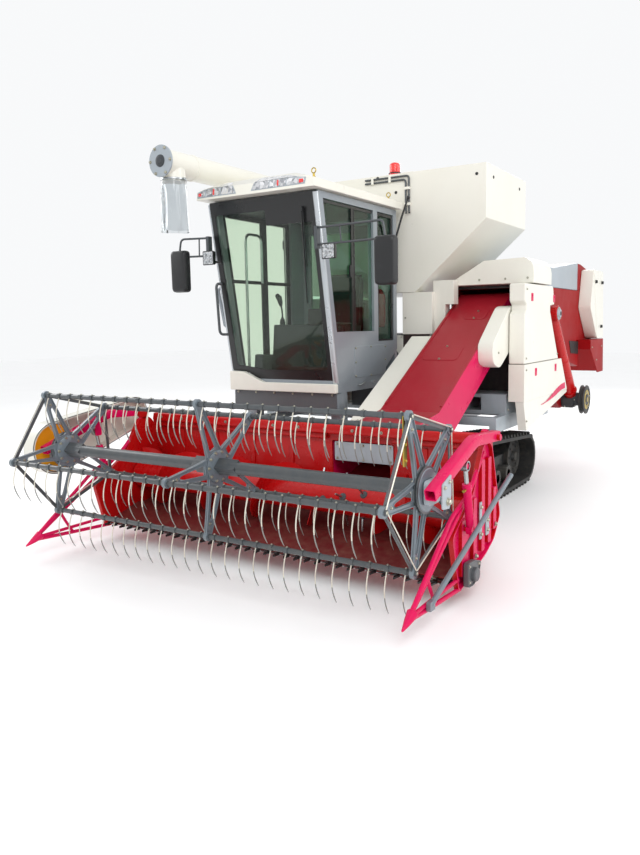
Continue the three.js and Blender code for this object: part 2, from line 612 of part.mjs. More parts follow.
// Cream sill panel below the windscreen, with its step.
const PANEL_LOW = CAB.floor + 2;
piece('cab_front_panel', geometryOf(solid(prism('y', [
  [CAB.x0 - 15, PANEL_LOW], [CAB.x1 + 10, PANEL_LOW], [CAB.x1 + 10, 1075], [-900, 1075], [-1110, 1160],
  [CAB.x0 - 15, 1165],
], CAB_FRONT.low - PANEL_SEAT - 50, CAB_FRONT.low - PANEL_SEAT))), CREAM);

const glassLow = 1175;
piece('cab_windscreen', geometryOf(solid(prism('x', [
  [cabFront(glassLow) - GLASS - TOUCH, glassLow], [cabFront(glassLow) - TOUCH, glassLow],
  [cabFront(CAB.top - 4) - TOUCH, CAB.top - 4], [cabFront(CAB.top - 4) - GLASS - TOUCH, CAB.top - 4],
], CAB.x0 + 8, CAB.x1 - 8))), 0x9fc4ae, 0.1, 0);

piece('cab_side_glass', geometryOf(solid(prism('x', sideGlass(0), paneX, paneX + GLASS))), 0x9fc4ae, 0.1, 0);
const edge = 0.5;
piece('cab_rear_glass', box([CAB.x0 + 140 + edge, CAB.x1 - 140 - edge],
  [CAB.rear - 25, CAB.rear - 25 + GLASS], [1600 + edge, CAB.top - 160 - edge]), 0x9fc4ae, 0.1, 0);

// Roof: a crowned cap with a deep front visor.
const ROOF = { x0: -1295, x1: -140, front: -1355, rear: 60 };
function cabRoof() {
  const z = CAB.top + TOUCH;
  const cap = prism('x', [
    [ROOF.front, z + 8], [ROOF.rear, z + 8], [ROOF.rear, z + 70], [-500, z + 125], [ROOF.front + 110, z + 145],
    [ROOF.front + 10, z + 90],
  ], ROOF.x0, ROOF.x1);
  const rib = box([CAB.x0 + 20, CAB.x1 - 20], [ROOF.front + 150, -60], [z, z + 20]);
  const bevels = [[ROOF.x0 - 5, 1], [ROOF.x1 + 5, -1]].map(([x, sign]) =>
    prism('y', [[x, z + 70], [x + sign * 330, z + 170], [x, z + 170]], ROOF.front - 20, ROOF.rear + 20));
  return cut(join(cap, rib), ...bevels);
}
piece('cab_roof', cabRoof(), CREAM);

// Door on the right side, hinged at the rear post.
const DOOR = { z0: 1136, z1: CAB.top - 56, y1: -216 };
const doorFront = (z) => cabFront(z) + POST + 6;
function doorOutline(inset) {
  const { z0, z1, y1 } = DOOR;
  return [
    [doorFront(z0 + inset) + inset, z0 + inset], [y1 - inset, z0 + inset],
    [y1 - inset, z1 - inset], [doorFront(z1 - inset) + inset, z1 - inset],
  ];
}
const doorX = CAB.x0 + 8;
const KNUCKLE = 9;
const DOOR_HINGE = { x: CAB.x0 - KNUCKLE - TOUCH, y: DOOR.y1 + 6 };
const doorHinges = [1330, 2300].flatMap((z) => [
  rod([DOOR_HINGE.x, DOOR_HINGE.y, z - 45], [DOOR_HINGE.x, DOOR_HINGE.y, z + 45], KNUCKLE, 12),
  box([DOOR_HINGE.x - 4, doorX + 4], [DOOR.y1 - 34, DOOR_HINGE.y - 2], [z - 40, z + 40]),
]);
piece('cab_door', join(prism('x', doorOutline(0), doorX, doorX + 34, [doorOutline(46)]), ...doorHinges),
  GREY, 0.4, 0.4);
piece('cab_door_glass', geometryOf(solid(prism('x', doorOutline(46.5), doorX + 14, doorX + 14 + GLASS))),
  0x9fc4ae, 0.1, 0);

// Inside: seat and control console.
const floorTop = 1100;
piece('cab_seat', join(
  box([-860, -560], [-380, -120], [floorTop + TOUCH, 1340]),
  prism('x', rounded([[-470, 1320], [-60, 1340], [-60, 1440], [-490, 1450]], 40, 3), -950, -470),
  prism('x', rounded([[-170, 1420], [-60, 1420], [-35, 2020], [-110, 2030]], 30, 3), -930, -490),
), DARK, 0.8, 0);
piece('cab_console', join(
  prism('x', [[-900, floorTop + TOUCH], [-620, floorTop + TOUCH], [-640, 1430], [-880, 1400]], -400, -260),
  prism('x', [[-900, floorTop + TOUCH], [-780, floorTop + TOUCH], [-800, 1560], [-850, 1560]], -1140, -390),
  rod([-330, -700, 1410], [-330, -730, 1560], 12, 10),
  new THREE.SphereGeometry(26, 12, 8).translate(-330, -735, 1575),
), DARK, 0.7, 0);

// ---- Small outside fittings --------------------------------------------------------------

const MIRROR = { z: 1985, height: 285, width: 185, depth: 60 };
function mirror(sign) {
  const post = sign > 0 ? CAB.x1 : CAB.x0;
  const outX = post + sign * (sign > 0 ? 560 : 260);
  const headY = -1350;
  const head = prism('y', rounded([
    [outX - MIRROR.width / 2, MIRROR.z - MIRROR.height / 2], [outX + MIRROR.width / 2, MIRROR.z - MIRROR.height / 2],
    [outX + MIRROR.width / 2, MIRROR.z + MIRROR.height / 2], [outX - MIRROR.width / 2, MIRROR.z + MIRROR.height / 2],
  ], 40, 3), headY - MIRROR.depth, headY);
  const base = post + sign * (12 + TOUCH);
  const mount = box([base - 12, base + 12].sort((a, b) => a - b), [-1250, -1180], [2050, 2290]);
  const arms = [2280, 2180].flatMap((z) => bentRod([
    [base, -1215, z], [outX - sign * 60, headY - 20, z], [outX, headY - 30, z - 60],
    [outX, headY - 30, MIRROR.z + 100],
  ], 11, 6));
  const lamp = box([base + sign * 40 - 48, base + sign * 40 + 48], [-1310, -1250], [2040, 2130]);
  const stalk = box([base - 8, base + sign * 40].sort((a, b) => a - b), [-1262, -1215], [2060, 2100]);
  return join(head, mount, arms, lamp, stalk);
}
for (const [side, sign] of sides) piece(`mirror_${side}`, mirror(sign), BLACK, 0.5, 0.1);

piece('beacon', join(
  rod([-290, TANK.y0 + 70, TANK.top + TOUCH], [-290, TANK.y0 + 70, TANK.top + 26], 58, 20),
  rod([-290, TANK.y0 + 70, TANK.top + 20], [-290, TANK.y0 + 70, TANK.top + 118], 50, 20, 46),
), 0xd01818, 0.25, 0);

// ---- Feeder house ------------------------------------------------------------------------

const slope = THREE.MathUtils.degToRad(FEED_ANGLE);
// A point s down the feeder from its pivot and t above its middle line.
const feed = (s, t) => [
  FEED_PIVOT.y - s * Math.cos(slope) - t * Math.sin(slope),
  FEED_PIVOT.z - s * Math.sin(slope) + t * Math.cos(slope),
];
const BACK_Y = AUGER.y + AUGER.r + AUGER_GAP;     // front face of the header's back wall
const THROAT = { front: BACK_Y + SHEET + TOUCH, top: 800, low: 415 };

function feederHouse() {
  const { x0, x1, top, under, end, length } = FEED;
  const skin = (inset) => [
    feed(-end - (inset ? 60 : 0), top - inset), feed(length - 40, top - inset),
    [THROAT.front - (inset ? 20 : 0), THROAT.top - inset], [THROAT.front - (inset ? 20 : 0), THROAT.low + inset],
    feed(length, -under + inset), feed(-end + 60 - (inset ? 60 : 0), -under + inset),
  ];
  const eye = feed((FEED_PIVOT.y - LIFT_EYE.y) / Math.cos(slope) - under * Math.tan(slope), -under);
  const ears = [-1, 1].map((sign) => {
    const x = LIFT_X + sign * (EYE + EAR / 2);
    return box([x - EAR / 2, x + EAR / 2], [LIFT_EYE.y - 30, LIFT_EYE.y + 30], [LIFT_EYE.z - 28, eye[1] + 25]);
  });
  const bridge = box([LIFT_X - EYE - EAR, LIFT_X + EYE + EAR], [LIFT_EYE.y - 30, LIFT_EYE.y + 30],
    [LIFT_EYE.z + PIN + 30, eye[1] + 25]);
  return cut(
    join(prism('x', skin(0), x0, x1), ...ears, bridge,
      axle(THRESHER.x0 + 4, THRESHER.x1 - 64, FEED_PIVOT.y, FEED_PIVOT.z, SHAFT, 20)),
    prism('x', skin(SHEET + 4), x0 + SHEET, x1 - SHEET));
}
const feederMesh = feederHouse();
piece('feeder_house', feederMesh, RED, 0.35, 0.1);

piece('feeder_guard_left', geometryOf(solid(prism('x', rounded([
  [100, 1680], [280, 1690], [280, 1400], [-140, 1165], [-300, 1215], [-315, 1370],
], 60, 3), FEED.x1 + TOUCH, FEED.x1 + 130))), CREAM);

piece('feeder_guard_right', geometryOf(solid(prism('x', [
  feed(520, 130), feed(1760, 130), feed(1760, 10), feed(520, 10),
], 20, FEED.x0 - TOUCH))), CREAM);

// ---- Header ------------------------------------------------------------------------------

const SIDE_OUTLINE = [
  [-1900, 862], [-1845, 825], [-1700, 370], [-1805, 240], [-1930, 186], [-2350, 72], [-2440, 410],
  [-2150, 590], [-1990, 850],
];
const DIVIDER = { x: HEADER_HALF - 12, r: 13 };
const panRadius = AUGER.r + AUGER_GAP;
const REEL_CYL = { x: 1458, foot: [-2270, 420], head: [-2350, 790] };

function headerFrame() {
  const inner = HEADER_HALF - SIDE_PLATE;
  const pan = prism('x', [
    [KNIFE_Y, 130], ...arc(AUGER.y, AUGER.z, panRadius, 255, 360, 8), [BACK_Y, 500],
    [BACK_Y + SHEET, 500], ...arc(AUGER.y, AUGER.z, panRadius + SHEET, 360, 255, 8), [KNIFE_Y, 118],
  ], -inner - 1, inner + 1);
  const back = cut(
    box([-inner - 1, inner + 1], [BACK_Y, BACK_Y + SHEET], [480, BACK_TOP]),
    box([MOUTH.x0, MOUTH.x1], [BACK_Y - 10, BACK_Y + SHEET + 10], [MOUTH.z0, MOUTH.z1]));
  const beam = box([-inner - 1, inner + 1], [BACK_Y - 60, BACK_Y + SHEET - 2], [BACK_TOP - 70, BACK_TOP]);
  const keel = box([-inner - 1, inner + 1], [BACK_Y + SHEET - 1, BACK_Y + 70], [300, 360]);
  const plates = [-1, 1].map((sign) => {
    const [a, b] = [sign * inner, sign * HEADER_HALF].sort((p, q) => p - q);
    return prism('x', SIDE_OUTLINE, a, b);
  });
  const dividers = [-1, 1].flatMap((sign) => {
    const x = sign * DIVIDER.x;
    const point = (y, z, out = 0) => [x + sign * out, y, z];
    return [
      ...bentRod([point(-2930, 150), point(-2160, 620), point(-1960, 800)], DIVIDER.r, 6),
      ...bentRod([point(-2930, 145), point(-2330, 90)], DIVIDER.r, 6),
      ...bentRod([point(-2500, 100), point(-2620, 330)], 11, 6),
      rod(point(-3010, 112), point(-2880, 165), 6, 8, 34),
    ];
  });
  const lugs = [-1, 1].map((sign) => {
    const spans = [sign * (HEADER_HALF - 2), sign * (REEL_CYL.x + 14)].sort((p, q) => p - q);
    return axle(...spans, ...REEL_CYL.foot, PIN, 14);
  });
  const pivots = [-1, 1].map((sign) => {
    const spans = [sign * (inner + 2), sign * (ARM.inner + ARM.size + 20)].sort((p, q) => p - q);
    return axle(...spans, REEL_PIVOT.y, REEL_PIVOT.z, 20, 16);
  });
  const boss = [-1, 1].map((sign) => {
    const spans = [sign * inner, sign * (HEADER_HALF - 1)].sort((p, q) => p - q);
    return axle(...spans, REEL_PIVOT.y, REEL_PIVOT.z - 2, 44, 20);
  });
  const mouth = box([MOUTH.x0, MOUTH.x1], [BACK_Y - 30, BACK_Y + SHEET + 10], [MOUTH.z0, MOUTH.z1]);
  const shaftHoles = [-1, 1].map((sign) => {
    const spans = [sign * (inner - 5), sign * (HEADER_HALF - 12)].sort((p, q) => p - q);
    return axle(...spans, AUGER.y, AUGER.z, 20 + BORE_GAP, 20);
  });
  return cut(join(pan, back, beam, keel, ...plates, ...dividers, ...lugs, ...pivots, ...boss),
    mouth, ...shaftHoles);
}
piece('header_frame', headerFrame(), PINK, 0.35, 0.1);

function cutterBar() {
  const half = HEADER_HALF - SIDE_PLATE - TOUCH;
  const bar = box([-half, half], [KNIFE_Y - 40, KNIFE_Y - TOUCH], [104, 136]);
  const pitch = (2 * half) / GUARD.count;
  const guards = Array.from({ length: GUARD.count }, (_, i) => {
    const x = -half + pitch * (i + 0.5);
    const y = KNIFE_Y - 38;
    return prism('z', [
      [x - GUARD.width / 2, y], [x + GUARD.width / 2, y], [x + 3, y - GUARD.length], [x - 3, y - GUARD.length],
    ], 108, 130);
  });
  return join(bar, ...guards);
}
piece('cutter_bar', cutterBar(), BLACK, 0.5, 0.5);

piece('knife_drive_cover', geometryOf(solid(prism('x', rounded([
  [-2320, 270], [-2150, 270], [-2090, 180], [-2140, 95], [-2300, 85], [-2340, 150],
], 40, 3), HEADER_HALF + TOUCH, HEADER_HALF + 68))), GREY, 0.4, 0.3);

piece('crop_rod', join(
  rod([HEADER_HALF + 12, -2740, 150], [HEADER_HALF + 150, -1940, 680], 14, 8),
  box([DIVIDER.x + DIVIDER.r * Math.cos(Math.PI / 6) + TOUCH, HEADER_HALF + 24], [-2770, -2710], [122, 172]),
), GREY, 0.4, 0.5);

// Auger: drum, two flights of opposite hand and fingers at the mouth.
function flight(fromX, toX, hand) {
  const turns = Math.abs(toX - fromX) / AUGER.pitch;
  const middle = (AUGER.r + AUGER.drum - 12) / 2;
  class Helix extends THREE.Curve {
    getPoint(t, target = new THREE.Vector3()) {
      const angle = hand * 2 * Math.PI * turns * t;
      return target.set(fromX + (toX - fromX) * t,
        AUGER.y + middle * Math.sin(angle), AUGER.z + middle * Math.cos(angle));
    }
  }
  const height = AUGER.r - AUGER.drum + 12;
  const section = new THREE.Shape([[-1, -1], [1, -1], [1, 1], [-1, 1]].map(([u, v]) =>
    new THREE.Vector2((u * height) / 2, (v * AUGER.flight) / 2)));
  return new THREE.ExtrudeGeometry(section, {
    steps: Math.ceil(turns * 10), bevelEnabled: false, extrudePath: new Helix(),
  });
}
const augerHalf = HEADER_HALF - SIDE_PLATE - 12;
function headerAuger() {
  const fingers = [0, 1, 2, 3].map((i) => {
    const angle = (i * Math.PI) / 2 + 0.4;
    const x = MOUTH.x0 + 60 + i * 110;
    return rod([x, AUGER.y, AUGER.z],
      [x, AUGER.y + AUGER.r * 0.95 * Math.sin(angle), AUGER.z + AUGER.r * 0.95 * Math.cos(angle)], 7, 8);
  });
  return join(
    axle(-augerHalf, augerHalf, AUGER.y, AUGER.z, AUGER.drum, 16),
    axle(-augerHalf - 22, augerHalf + 22, AUGER.y, AUGER.z, 20, 14),
    flight(-augerHalf + 10, MOUTH.x0, 1), flight(augerHalf - 10, MOUTH.x1, 1), ...fingers);
}
piece('header_auger', headerAuger(), RED, 0.35, 0.2);

// ---- Reel --------------------------------------------------------------------------------

// Height of a reel arm's middle line at y.
const armMiddle = (y) => ARM.bend[1] + (y > ARM.bend[0]
  ? ((REEL_PIVOT.z - ARM.bend[1]) * (y - ARM.bend[0])) / (REEL_PIVOT.y - ARM.bend[0])
  : ((ARM.tip[1] - ARM.bend[1]) * (y - ARM.bend[0])) / (ARM.tip[0] - ARM.bend[0]));
function reelArm(sign) {
  const half = ARM.size / 2;
  const x = [sign * ARM.inner, sign * (ARM.inner + ARM.size)].sort((p, q) => p - q);
  const { bend, tip } = ARM;
  const outline = [
    [REEL_PIVOT.y + 45, REEL_PIVOT.z + half - 6], [bend[0], bend[1] + half], [tip[0], tip[1] + half],
    [tip[0], tip[1] - half], [bend[0] + 10, bend[1] - half], [REEL_PIVOT.y + 45, REEL_PIVOT.z - half + 6],
  ];
  const bearing = [sign * (REEL.spider + 38), sign * (ARM.inner + 6)].sort((p, q) => p - q);
  const bracket = [sign * (ARM.inner + 2), sign * (REEL_CYL.x + 14)].sort((p, q) => p - q);
  const [headY, headZ] = REEL_CYL.head;
  const body = join(
    prism('x', outline, ...x),
    box(bearing, [REEL.y - 70, REEL.y + 70], [REEL.z - 70, REEL.z + 60]),
    box([bearing[0], bearing[1]], [REEL.y - 40, REEL.y + 40], [REEL.z, armMiddle(REEL.y)]));
  const pin = axle(...bracket, headY, headZ, PIN, 14);
  const lug = box([sign * (ARM.inner + 2), sign * (ARM.inner + 6)].sort((p, q) => p - q),
    [headY - 25, headY + 25], [headZ - 25, armMiddle(headY)]);
  const bore = [sign * (REEL.spider + 30), sign * (ARM.inner + ARM.size + 5)].sort((p, q) => p - q);
  return cut(join(body, lug, pin),
    axle(...bore, REEL.y, REEL.z, REEL.shaft + BORE_GAP, 24),
    axle(...[sign * (ARM.inner - 30), sign * (ARM.inner + ARM.size + 5)].sort((p, q) => p - q),
      REEL_PIVOT.y, REEL_PIVOT.z, 20 + BORE_GAP, 20));
}
for (const [side, sign] of sides) piece(`reel_arm_${side}`, reelArm(sign), PINK, 0.35, 0.1);

// Places of the five bars round the reel, as y and z.
const barPlaces = Array.from({ length: 5 }, (_, i) => {
  const angle = THREE.MathUtils.degToRad(REEL.phase + 72 * i);
  return [REEL.y + REEL.r * Math.sin(angle), REEL.z + REEL.r * Math.cos(angle)];
});

const SPIDER = 10;
function spider(x) {
  const span = [x - SPIDER / 2, x + SPIDER / 2];
  const spokes = barPlaces.map(([y, z]) => {
    const [uy, uz] = [(y - REEL.y) / REEL.r, (z - REEL.z) / REEL.r];
    const at = (along, across) => [REEL.y + uy * along - uz * across, REEL.z + uz * along + uy * across];
    return prism('x', [at(60, -62), at(REEL.r - 8, -24), at(REEL.r - 8, 24), at(60, 62)], ...span,
      [[at(135, -16), at(REEL.r - 110, -6), at(REEL.r - 110, 6), at(135, 16)]]);
  });
  const pads = barPlaces.map(([y, z]) => axle(...span, y, z, 30, 8));
  const straps = barPlaces.map((from, i) => {
    const to = barPlaces[(i + 1) % 5];
    const length = Math.hypot(to[0] - from[0], to[1] - from[1]);
    const [ny, nz] = [-(to[1] - from[1]) / length * 11, (to[0] - from[0]) / length * 11];
    return prism('x', [
      [from[0] - ny, from[1] - nz], [to[0] - ny, to[1] - nz], [to[0] + ny, to[1] + nz], [from[0] + ny, from[1] + nz],
    ], span[0] + 2, span[1] - 2);
  });
  return [axle(x - 12, x + 12, REEL.y, REEL.z, 100, 12), ...spokes, ...pads, ...(x ? straps : [])];
}

function reelRotor() {
  const reach = ARM.inner + 20;
  const tube = axle(-REEL.spider, REEL.spider, REEL.y, REEL.z, REEL.shaft + 4, 12);
  const stub = axle(-reach - ARM.size, reach, REEL.y, REEL.z, REEL.shaft, 16);
  const hub = [-1, 1].map((sign) => {
    const spans = [sign * (REEL.spider + 4), sign * (REEL.spider + 30)].sort((p, q) => p - q);
    return axle(...spans, REEL.y, REEL.z, 122, 16);
  });
  const bores = barPlaces.flatMap(([y, z]) => axle(-REEL.spider - 20, REEL.spider + 20, y, z, REEL.bar + 0.75, 12));
  return cut(join(tube, stub, ...hub, ...[-1, 0, 1].flatMap((k) => spider(k * REEL.spider))), ...bores);
}
piece('reel_rotor', reelRotor(), GREY, 0.45, 0.5);

function tineBar([y, z]) {
  const reach = REEL.spider + 22;
  const bar = axle(-reach, reach, y, z, REEL.bar, 8);
  const w = TINES.width / 2;
  const shape = [
    [y - 12, z], [y - 8, z - TINES.length], [y - 8 + 2 * w, z - TINES.length], [y - 12 + 2 * w, z],
  ];
  const tines = Array.from({ length: TINES.count }, (_, i) => {
    const x = -TINES.span / 2 + (TINES.span * i) / (TINES.count - 1);
    return prism('x', shape, x - w, x + w);
  }).filter((_, i) => Math.abs(-TINES.span / 2 + (TINES.span * i) / (TINES.count - 1)) > 20);
  return join(bar, ...tines);
}
barPlaces.forEach((place, i) => piece(`tine_bar_${i + 1}`, tineBar(place), STEEL, 0.4, 0.6));

// Drive at the right end: cream belt guard on the arm, amber pulley on the reel shaft.
const driveX = -(ARM.inner + ARM.size);
const GUARD_OUTLINE = [
  ...arc(REEL.y, REEL.z, 185, 100, 290, 8),
  ...arc(REEL_PIVOT.y, REEL_PIVOT.z, 120, 290, 460, 6),
];
const guardShell = cut(
  prism('x', GUARD_OUTLINE, driveX - 105, driveX - TOUCH),
  prism('x', [
    ...arc(REEL.y, REEL.z, 179, 100, 290, 8), ...arc(REEL_PIVOT.y, REEL_PIVOT.z, 100, 290, 460, 6),
  ], driveX - 99, driveX + 5));
const guardPosts = [-2480, -2090].map((y) => axle(driveX - 102, driveX - TOUCH, y, armMiddle(y), 14, 10));
piece('reel_drive_guard', join(guardShell, ...guardPosts), CREAM);

// ---- Cylinders ---------------------------------------------------------------------------

const EYE_DRIFT = 7;               // gap round the pin in a rod's eye, which drifts as the arm swings
// A barrel with an eye at its foot and a rod with an eye at its head, along one line at x.
function cylinder(x, foot, head, barrelRadius, rodRadius, barrelLength) {
  const length = Math.hypot(head[0] - foot[0], head[1] - foot[1]);
  const [uy, uz] = [(head[0] - foot[0]) / length, (head[1] - foot[1]) / length];
  const at = (s) => [x, foot[0] + uy * s, foot[1] + uz * s];
  const eyeHalf = Math.min(barrelRadius - 6, 24);
  const eyeRadius = PIN + 13;
  const barrel = cut(
    join(rod(at(eyeRadius - 4), at(barrelLength), barrelRadius, 16),
      axle(x - eyeHalf, x + eyeHalf, foot[0], foot[1], eyeRadius, 18)),
    axle(x - 60, x + 60, foot[0], foot[1], PIN + BORE_GAP, 18),
    rod(at(eyeRadius + 30), at(barrelLength + 20), rodRadius + BORE_GAP, 14));
  const stem = cut(
    join(rod(at(eyeRadius + 34), at(length - eyeRadius + 4), rodRadius, 12),
      axle(x - eyeHalf, x + eyeHalf, head[0], head[1], eyeRadius, 18)),
    axle(x - 60, x + 60, head[0], head[1], PIN + EYE_DRIFT, 18));
  return { barrel, stem };
}
for (const [side, sign] of sides) {
  const { barrel, stem } = cylinder(sign * REEL_CYL.x, REEL_CYL.foot, REEL_CYL.head, 24, 12, 275);
  piece(`reel_barrel_${side}`, barrel, PINK, 0.35, 0.1);
  piece(`reel_rod_${side}`, stem, STEEL, 0.2, 0.9);
}
const lift = cylinder(LIFT_X, [LIFT_BASE.y, LIFT_BASE.z], [LIFT_EYE.y, LIFT_EYE.z], 30, 17, 430);
piece('lift_barrel', lift.barrel, RED, 0.35, 0.1);
piece('lift_rod', lift.stem, STEEL, 0.2, 0.9);

// ---- Origin ------------------------------------------------------------------------------

// The machine stands on the floor, with the origin below the middle of its box.
const extent = new THREE.Box3().setFromObject(machine, true);
const middle = extent.getCenter(new THREE.Vector3());
machine.position.set(-middle.x, -middle.y, -extent.min.z);

const group = new THREE.Group();
group.add(machine);
export default group;
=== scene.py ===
# %% [markdown]
# # A rice harvester on rubber tracks
# The machine's bodies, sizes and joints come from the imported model, which is loaded here as a fixed frame.
# Everything below gives those parts their look: rounded sheet edges, paint, bolts, tines, glass and rubber.
# Distances are in metres. Positions are written from the machine's own datum, the point that the maker
# measured from, and `DATUM` carries them into the frame.
# %% Load the frame
import json
import math

import bmesh
import bpy
import numpy as np
from mathutils import Matrix

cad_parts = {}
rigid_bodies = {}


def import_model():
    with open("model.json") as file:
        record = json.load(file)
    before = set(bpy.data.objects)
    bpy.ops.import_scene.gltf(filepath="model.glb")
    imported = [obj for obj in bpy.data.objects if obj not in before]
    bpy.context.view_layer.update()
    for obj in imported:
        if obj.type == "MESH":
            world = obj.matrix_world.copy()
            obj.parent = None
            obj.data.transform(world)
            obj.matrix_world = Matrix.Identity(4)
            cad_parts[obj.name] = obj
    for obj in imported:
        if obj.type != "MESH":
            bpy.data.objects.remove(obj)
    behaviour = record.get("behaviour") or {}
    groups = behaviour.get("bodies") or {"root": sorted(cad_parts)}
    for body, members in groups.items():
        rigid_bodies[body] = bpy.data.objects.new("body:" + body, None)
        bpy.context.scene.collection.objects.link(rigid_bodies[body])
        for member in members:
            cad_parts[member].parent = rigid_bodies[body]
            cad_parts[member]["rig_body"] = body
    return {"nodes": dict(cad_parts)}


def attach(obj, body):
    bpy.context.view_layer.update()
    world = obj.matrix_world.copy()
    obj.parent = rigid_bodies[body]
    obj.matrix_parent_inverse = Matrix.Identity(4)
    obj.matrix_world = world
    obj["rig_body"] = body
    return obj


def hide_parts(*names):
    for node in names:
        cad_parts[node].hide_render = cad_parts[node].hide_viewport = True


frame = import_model()
scene = bpy.context.scene
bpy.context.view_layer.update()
DATUM = np.array([0.0043277, 0.0287136, 0.0])

# %% [markdown]
# ## Camera
# The machine is seen from off its front left corner, with the eye 1.55 m up. The camera is built from its
# own three axes, right, up and back, because that states the small roll without any chain of rotations.
# %% Camera
CAMERA_PLACE = (2.925, -5.923, 1.553)
CAMERA_LENS, CAMERA_SHIFT = 30.61, (-0.0425, -0.0162)
CAMERA_TURN, CAMERA_DIP, CAMERA_ROLL = (math.radians(a) for a in (30.912, 7.046, -0.887))


def camera_axes(turn, dip, roll):
    """Right, up and back of a camera that looks in from azimuth turn, tipped down by dip and rolled by
    roll."""
    back = np.array([math.sin(turn) * math.cos(dip), -math.cos(turn) * math.cos(dip), math.sin(dip)])
    level = np.cross(-back, [0, 0, 1])
    level /= np.linalg.norm(level)
    lift = np.cross(level, -back)
    right = level * math.cos(roll) + lift * math.sin(roll)
    up = -level * math.sin(roll) + lift * math.cos(roll)
    return right, up, back


camera = bpy.data.objects.new("camera", bpy.data.cameras.new("camera"))
scene.collection.objects.link(camera)
scene.camera = camera
camera.data.sensor_fit = "VERTICAL"
camera.data.sensor_width = camera.data.sensor_height = 36
camera.data.lens = CAMERA_LENS
camera.data.shift_x, camera.data.shift_y = CAMERA_SHIFT
axes = np.eye(4)
axes[:3, :3] = np.array(camera_axes(CAMERA_TURN, CAMERA_DIP, CAMERA_ROLL)).T
axes[:3, 3] = CAMERA_PLACE + DATUM
camera.matrix_world = Matrix(axes.tolist())
print("camera at", [round(v, 2) for v in camera.location])

# %% [markdown]
# ## Studio
# Paint shows its colour best under broad, even light. A white surround fills every shadow a little, one
# large panel above the camera's side gives the direction, a second from the left draws bright lines along
# edges and tubes, and two more, to the right and behind, light the far sides.
# %% Floor and lights
FLOOR_SIZE, FLOOR_SEGMENTS = 60.0, 24
STUDIO_LIGHTS = {  # name: place, point it faces, width, height, power
    "key": ((5.5, -7.5, 7.0), (0, -0.8, 1.0), 5.0, 4.0, 340),
    "left_fill": ((8.0, 1.5, 4.0), (0, 0.2, 1.2), 4.0, 3.5, 120),
    "right_rim": ((-7.5, -2.0, 5.0), (0, 0, 1.4), 3.5, 3.5, 150),
    "rear_fill": ((-2.0, 9.0, 5.0), (0, 0.5, 1.2), 5.0, 3.0, 180),
}


def aim(place, target):
    """A rotation that turns -Z from place to target, with Z kept up."""
    back = np.array(place, float) - target
    back /= np.linalg.norm(back)
    right = np.cross([0, 0, 1], back)
    right /= np.linalg.norm(right)
    return Matrix(np.array([right, np.cross(back, right), back]).T.tolist()).to_euler()


for name, (place, target, width, height, power) in STUDIO_LIGHTS.items():
    light = bpy.data.lights.new(name, "AREA")
    light.shape, light.size, light.size_y, light.energy = "RECTANGLE", width, height, power
    lamp = bpy.data.objects.new(name, light)
    lamp.location, lamp.rotation_euler = place, aim(place, target)
    scene.collection.objects.link(lamp)

scene.world = bpy.data.worlds.new("surround")
scene.world.use_nodes = True
surround = scene.world.node_tree.nodes["Background"]
surround.inputs["Color"].default_value = (0.98, 0.99, 1.0, 1)
surround.inputs["Strength"].default_value = 0.96
scene.view_settings.view_transform = "Standard"
print("lit by", len(STUDIO_LIGHTS), "panels and a white surround")

# %% [markdown]
# ## Shapes as arrays
# Every new piece is a net of points worked out all at once. Nearly all of them are one of four kinds: a
# circle carried along a path, a profile turned about a line, an outline carried straight, or a small shape
# copied to many places. Each helper returns points, four-sided faces and end caps, and `build` joins any
# number of them into one closed mesh.
# %% Nets of points
def net(points, round_u=False, round_v=False, caps=False):
    """Faces of a grid P[u, v]: each joins (u, v), (u+1, v), (u+1, v+1), (u, v+1); caps close the first and
    last row."""
    n, m = points.shape[:2]
    u = np.arange(n if round_u else n - 1)[:, None]
    v = np.arange(m if round_v else m - 1)[None, :]
    u2, v2 = (u + 1) % n, (v + 1) % m
    quads = np.stack([u * m + v, u2 * m + v, u2 * m + v2, u * m + v2], -1).reshape(-1, 4)
    ends = [np.arange(m), (n - 1) * m + np.arange(m)[::-1]] if caps else []
    return points.reshape(-1, 3), quads, ends


def tube(path, radius, sides=12):
    """A circle of that radius carried along path: P(i, a) = path_i + r_i (side_i cos a + up_i sin a)."""
    path = np.asarray(path, float)
    along = np.gradient(path, axis=0)
    along /= np.linalg.norm(along, axis=1)[:, None]
    still = np.eye(3)[np.argmin(np.abs(along).max(axis=0))]
    up = np.cross(along, still)
    up /= np.linalg.norm(up, axis=1)[:, None]
    side = np.cross(up, along)
    angle = np.arange(sides) * 2 * np.pi / sides
    ring = side[:, None] * np.cos(angle)[None, :, None] + up[:, None] * np.sin(angle)[None, :, None]
    size = np.broadcast_to(np.asarray(radius, float), len(path))[:, None, None]
    return net(path[:, None] + size * ring, round_v=True, caps=True)


def turned(profile, centre, axis="z", sides=32):
    """A profile of (distance along the axis, radius) pairs turned about a line through centre."""
    profile = np.asarray(profile, float)
    angle = np.arange(sides) * 2 * np.pi / sides
    flat = np.stack([np.cos(angle), np.sin(angle)], -1)[None] * profile[:, 1, None, None]
    along = np.broadcast_to(profile[:, 0, None, None], flat.shape[:2] + (1,))
    order = {"x": (2, 0, 1), "y": (1, 2, 0), "z": (0, 1, 2)}[axis]
    points = np.concatenate([flat, along], -1)[..., list(order)]
    return net(points + np.asarray(centre, float), round_v=True, caps=True)


def lift(outline, height, axis):
    """The outline's (u, v) points at one height along an axis, as 3-D points: x takes (y, z), y takes (x,
    z), z takes (x, y)."""
    outline = np.asarray(outline, float)
    spot = {"x": 0, "y": 1, "z": 2}[axis]
    return np.insert(outline, spot, height, axis=1)


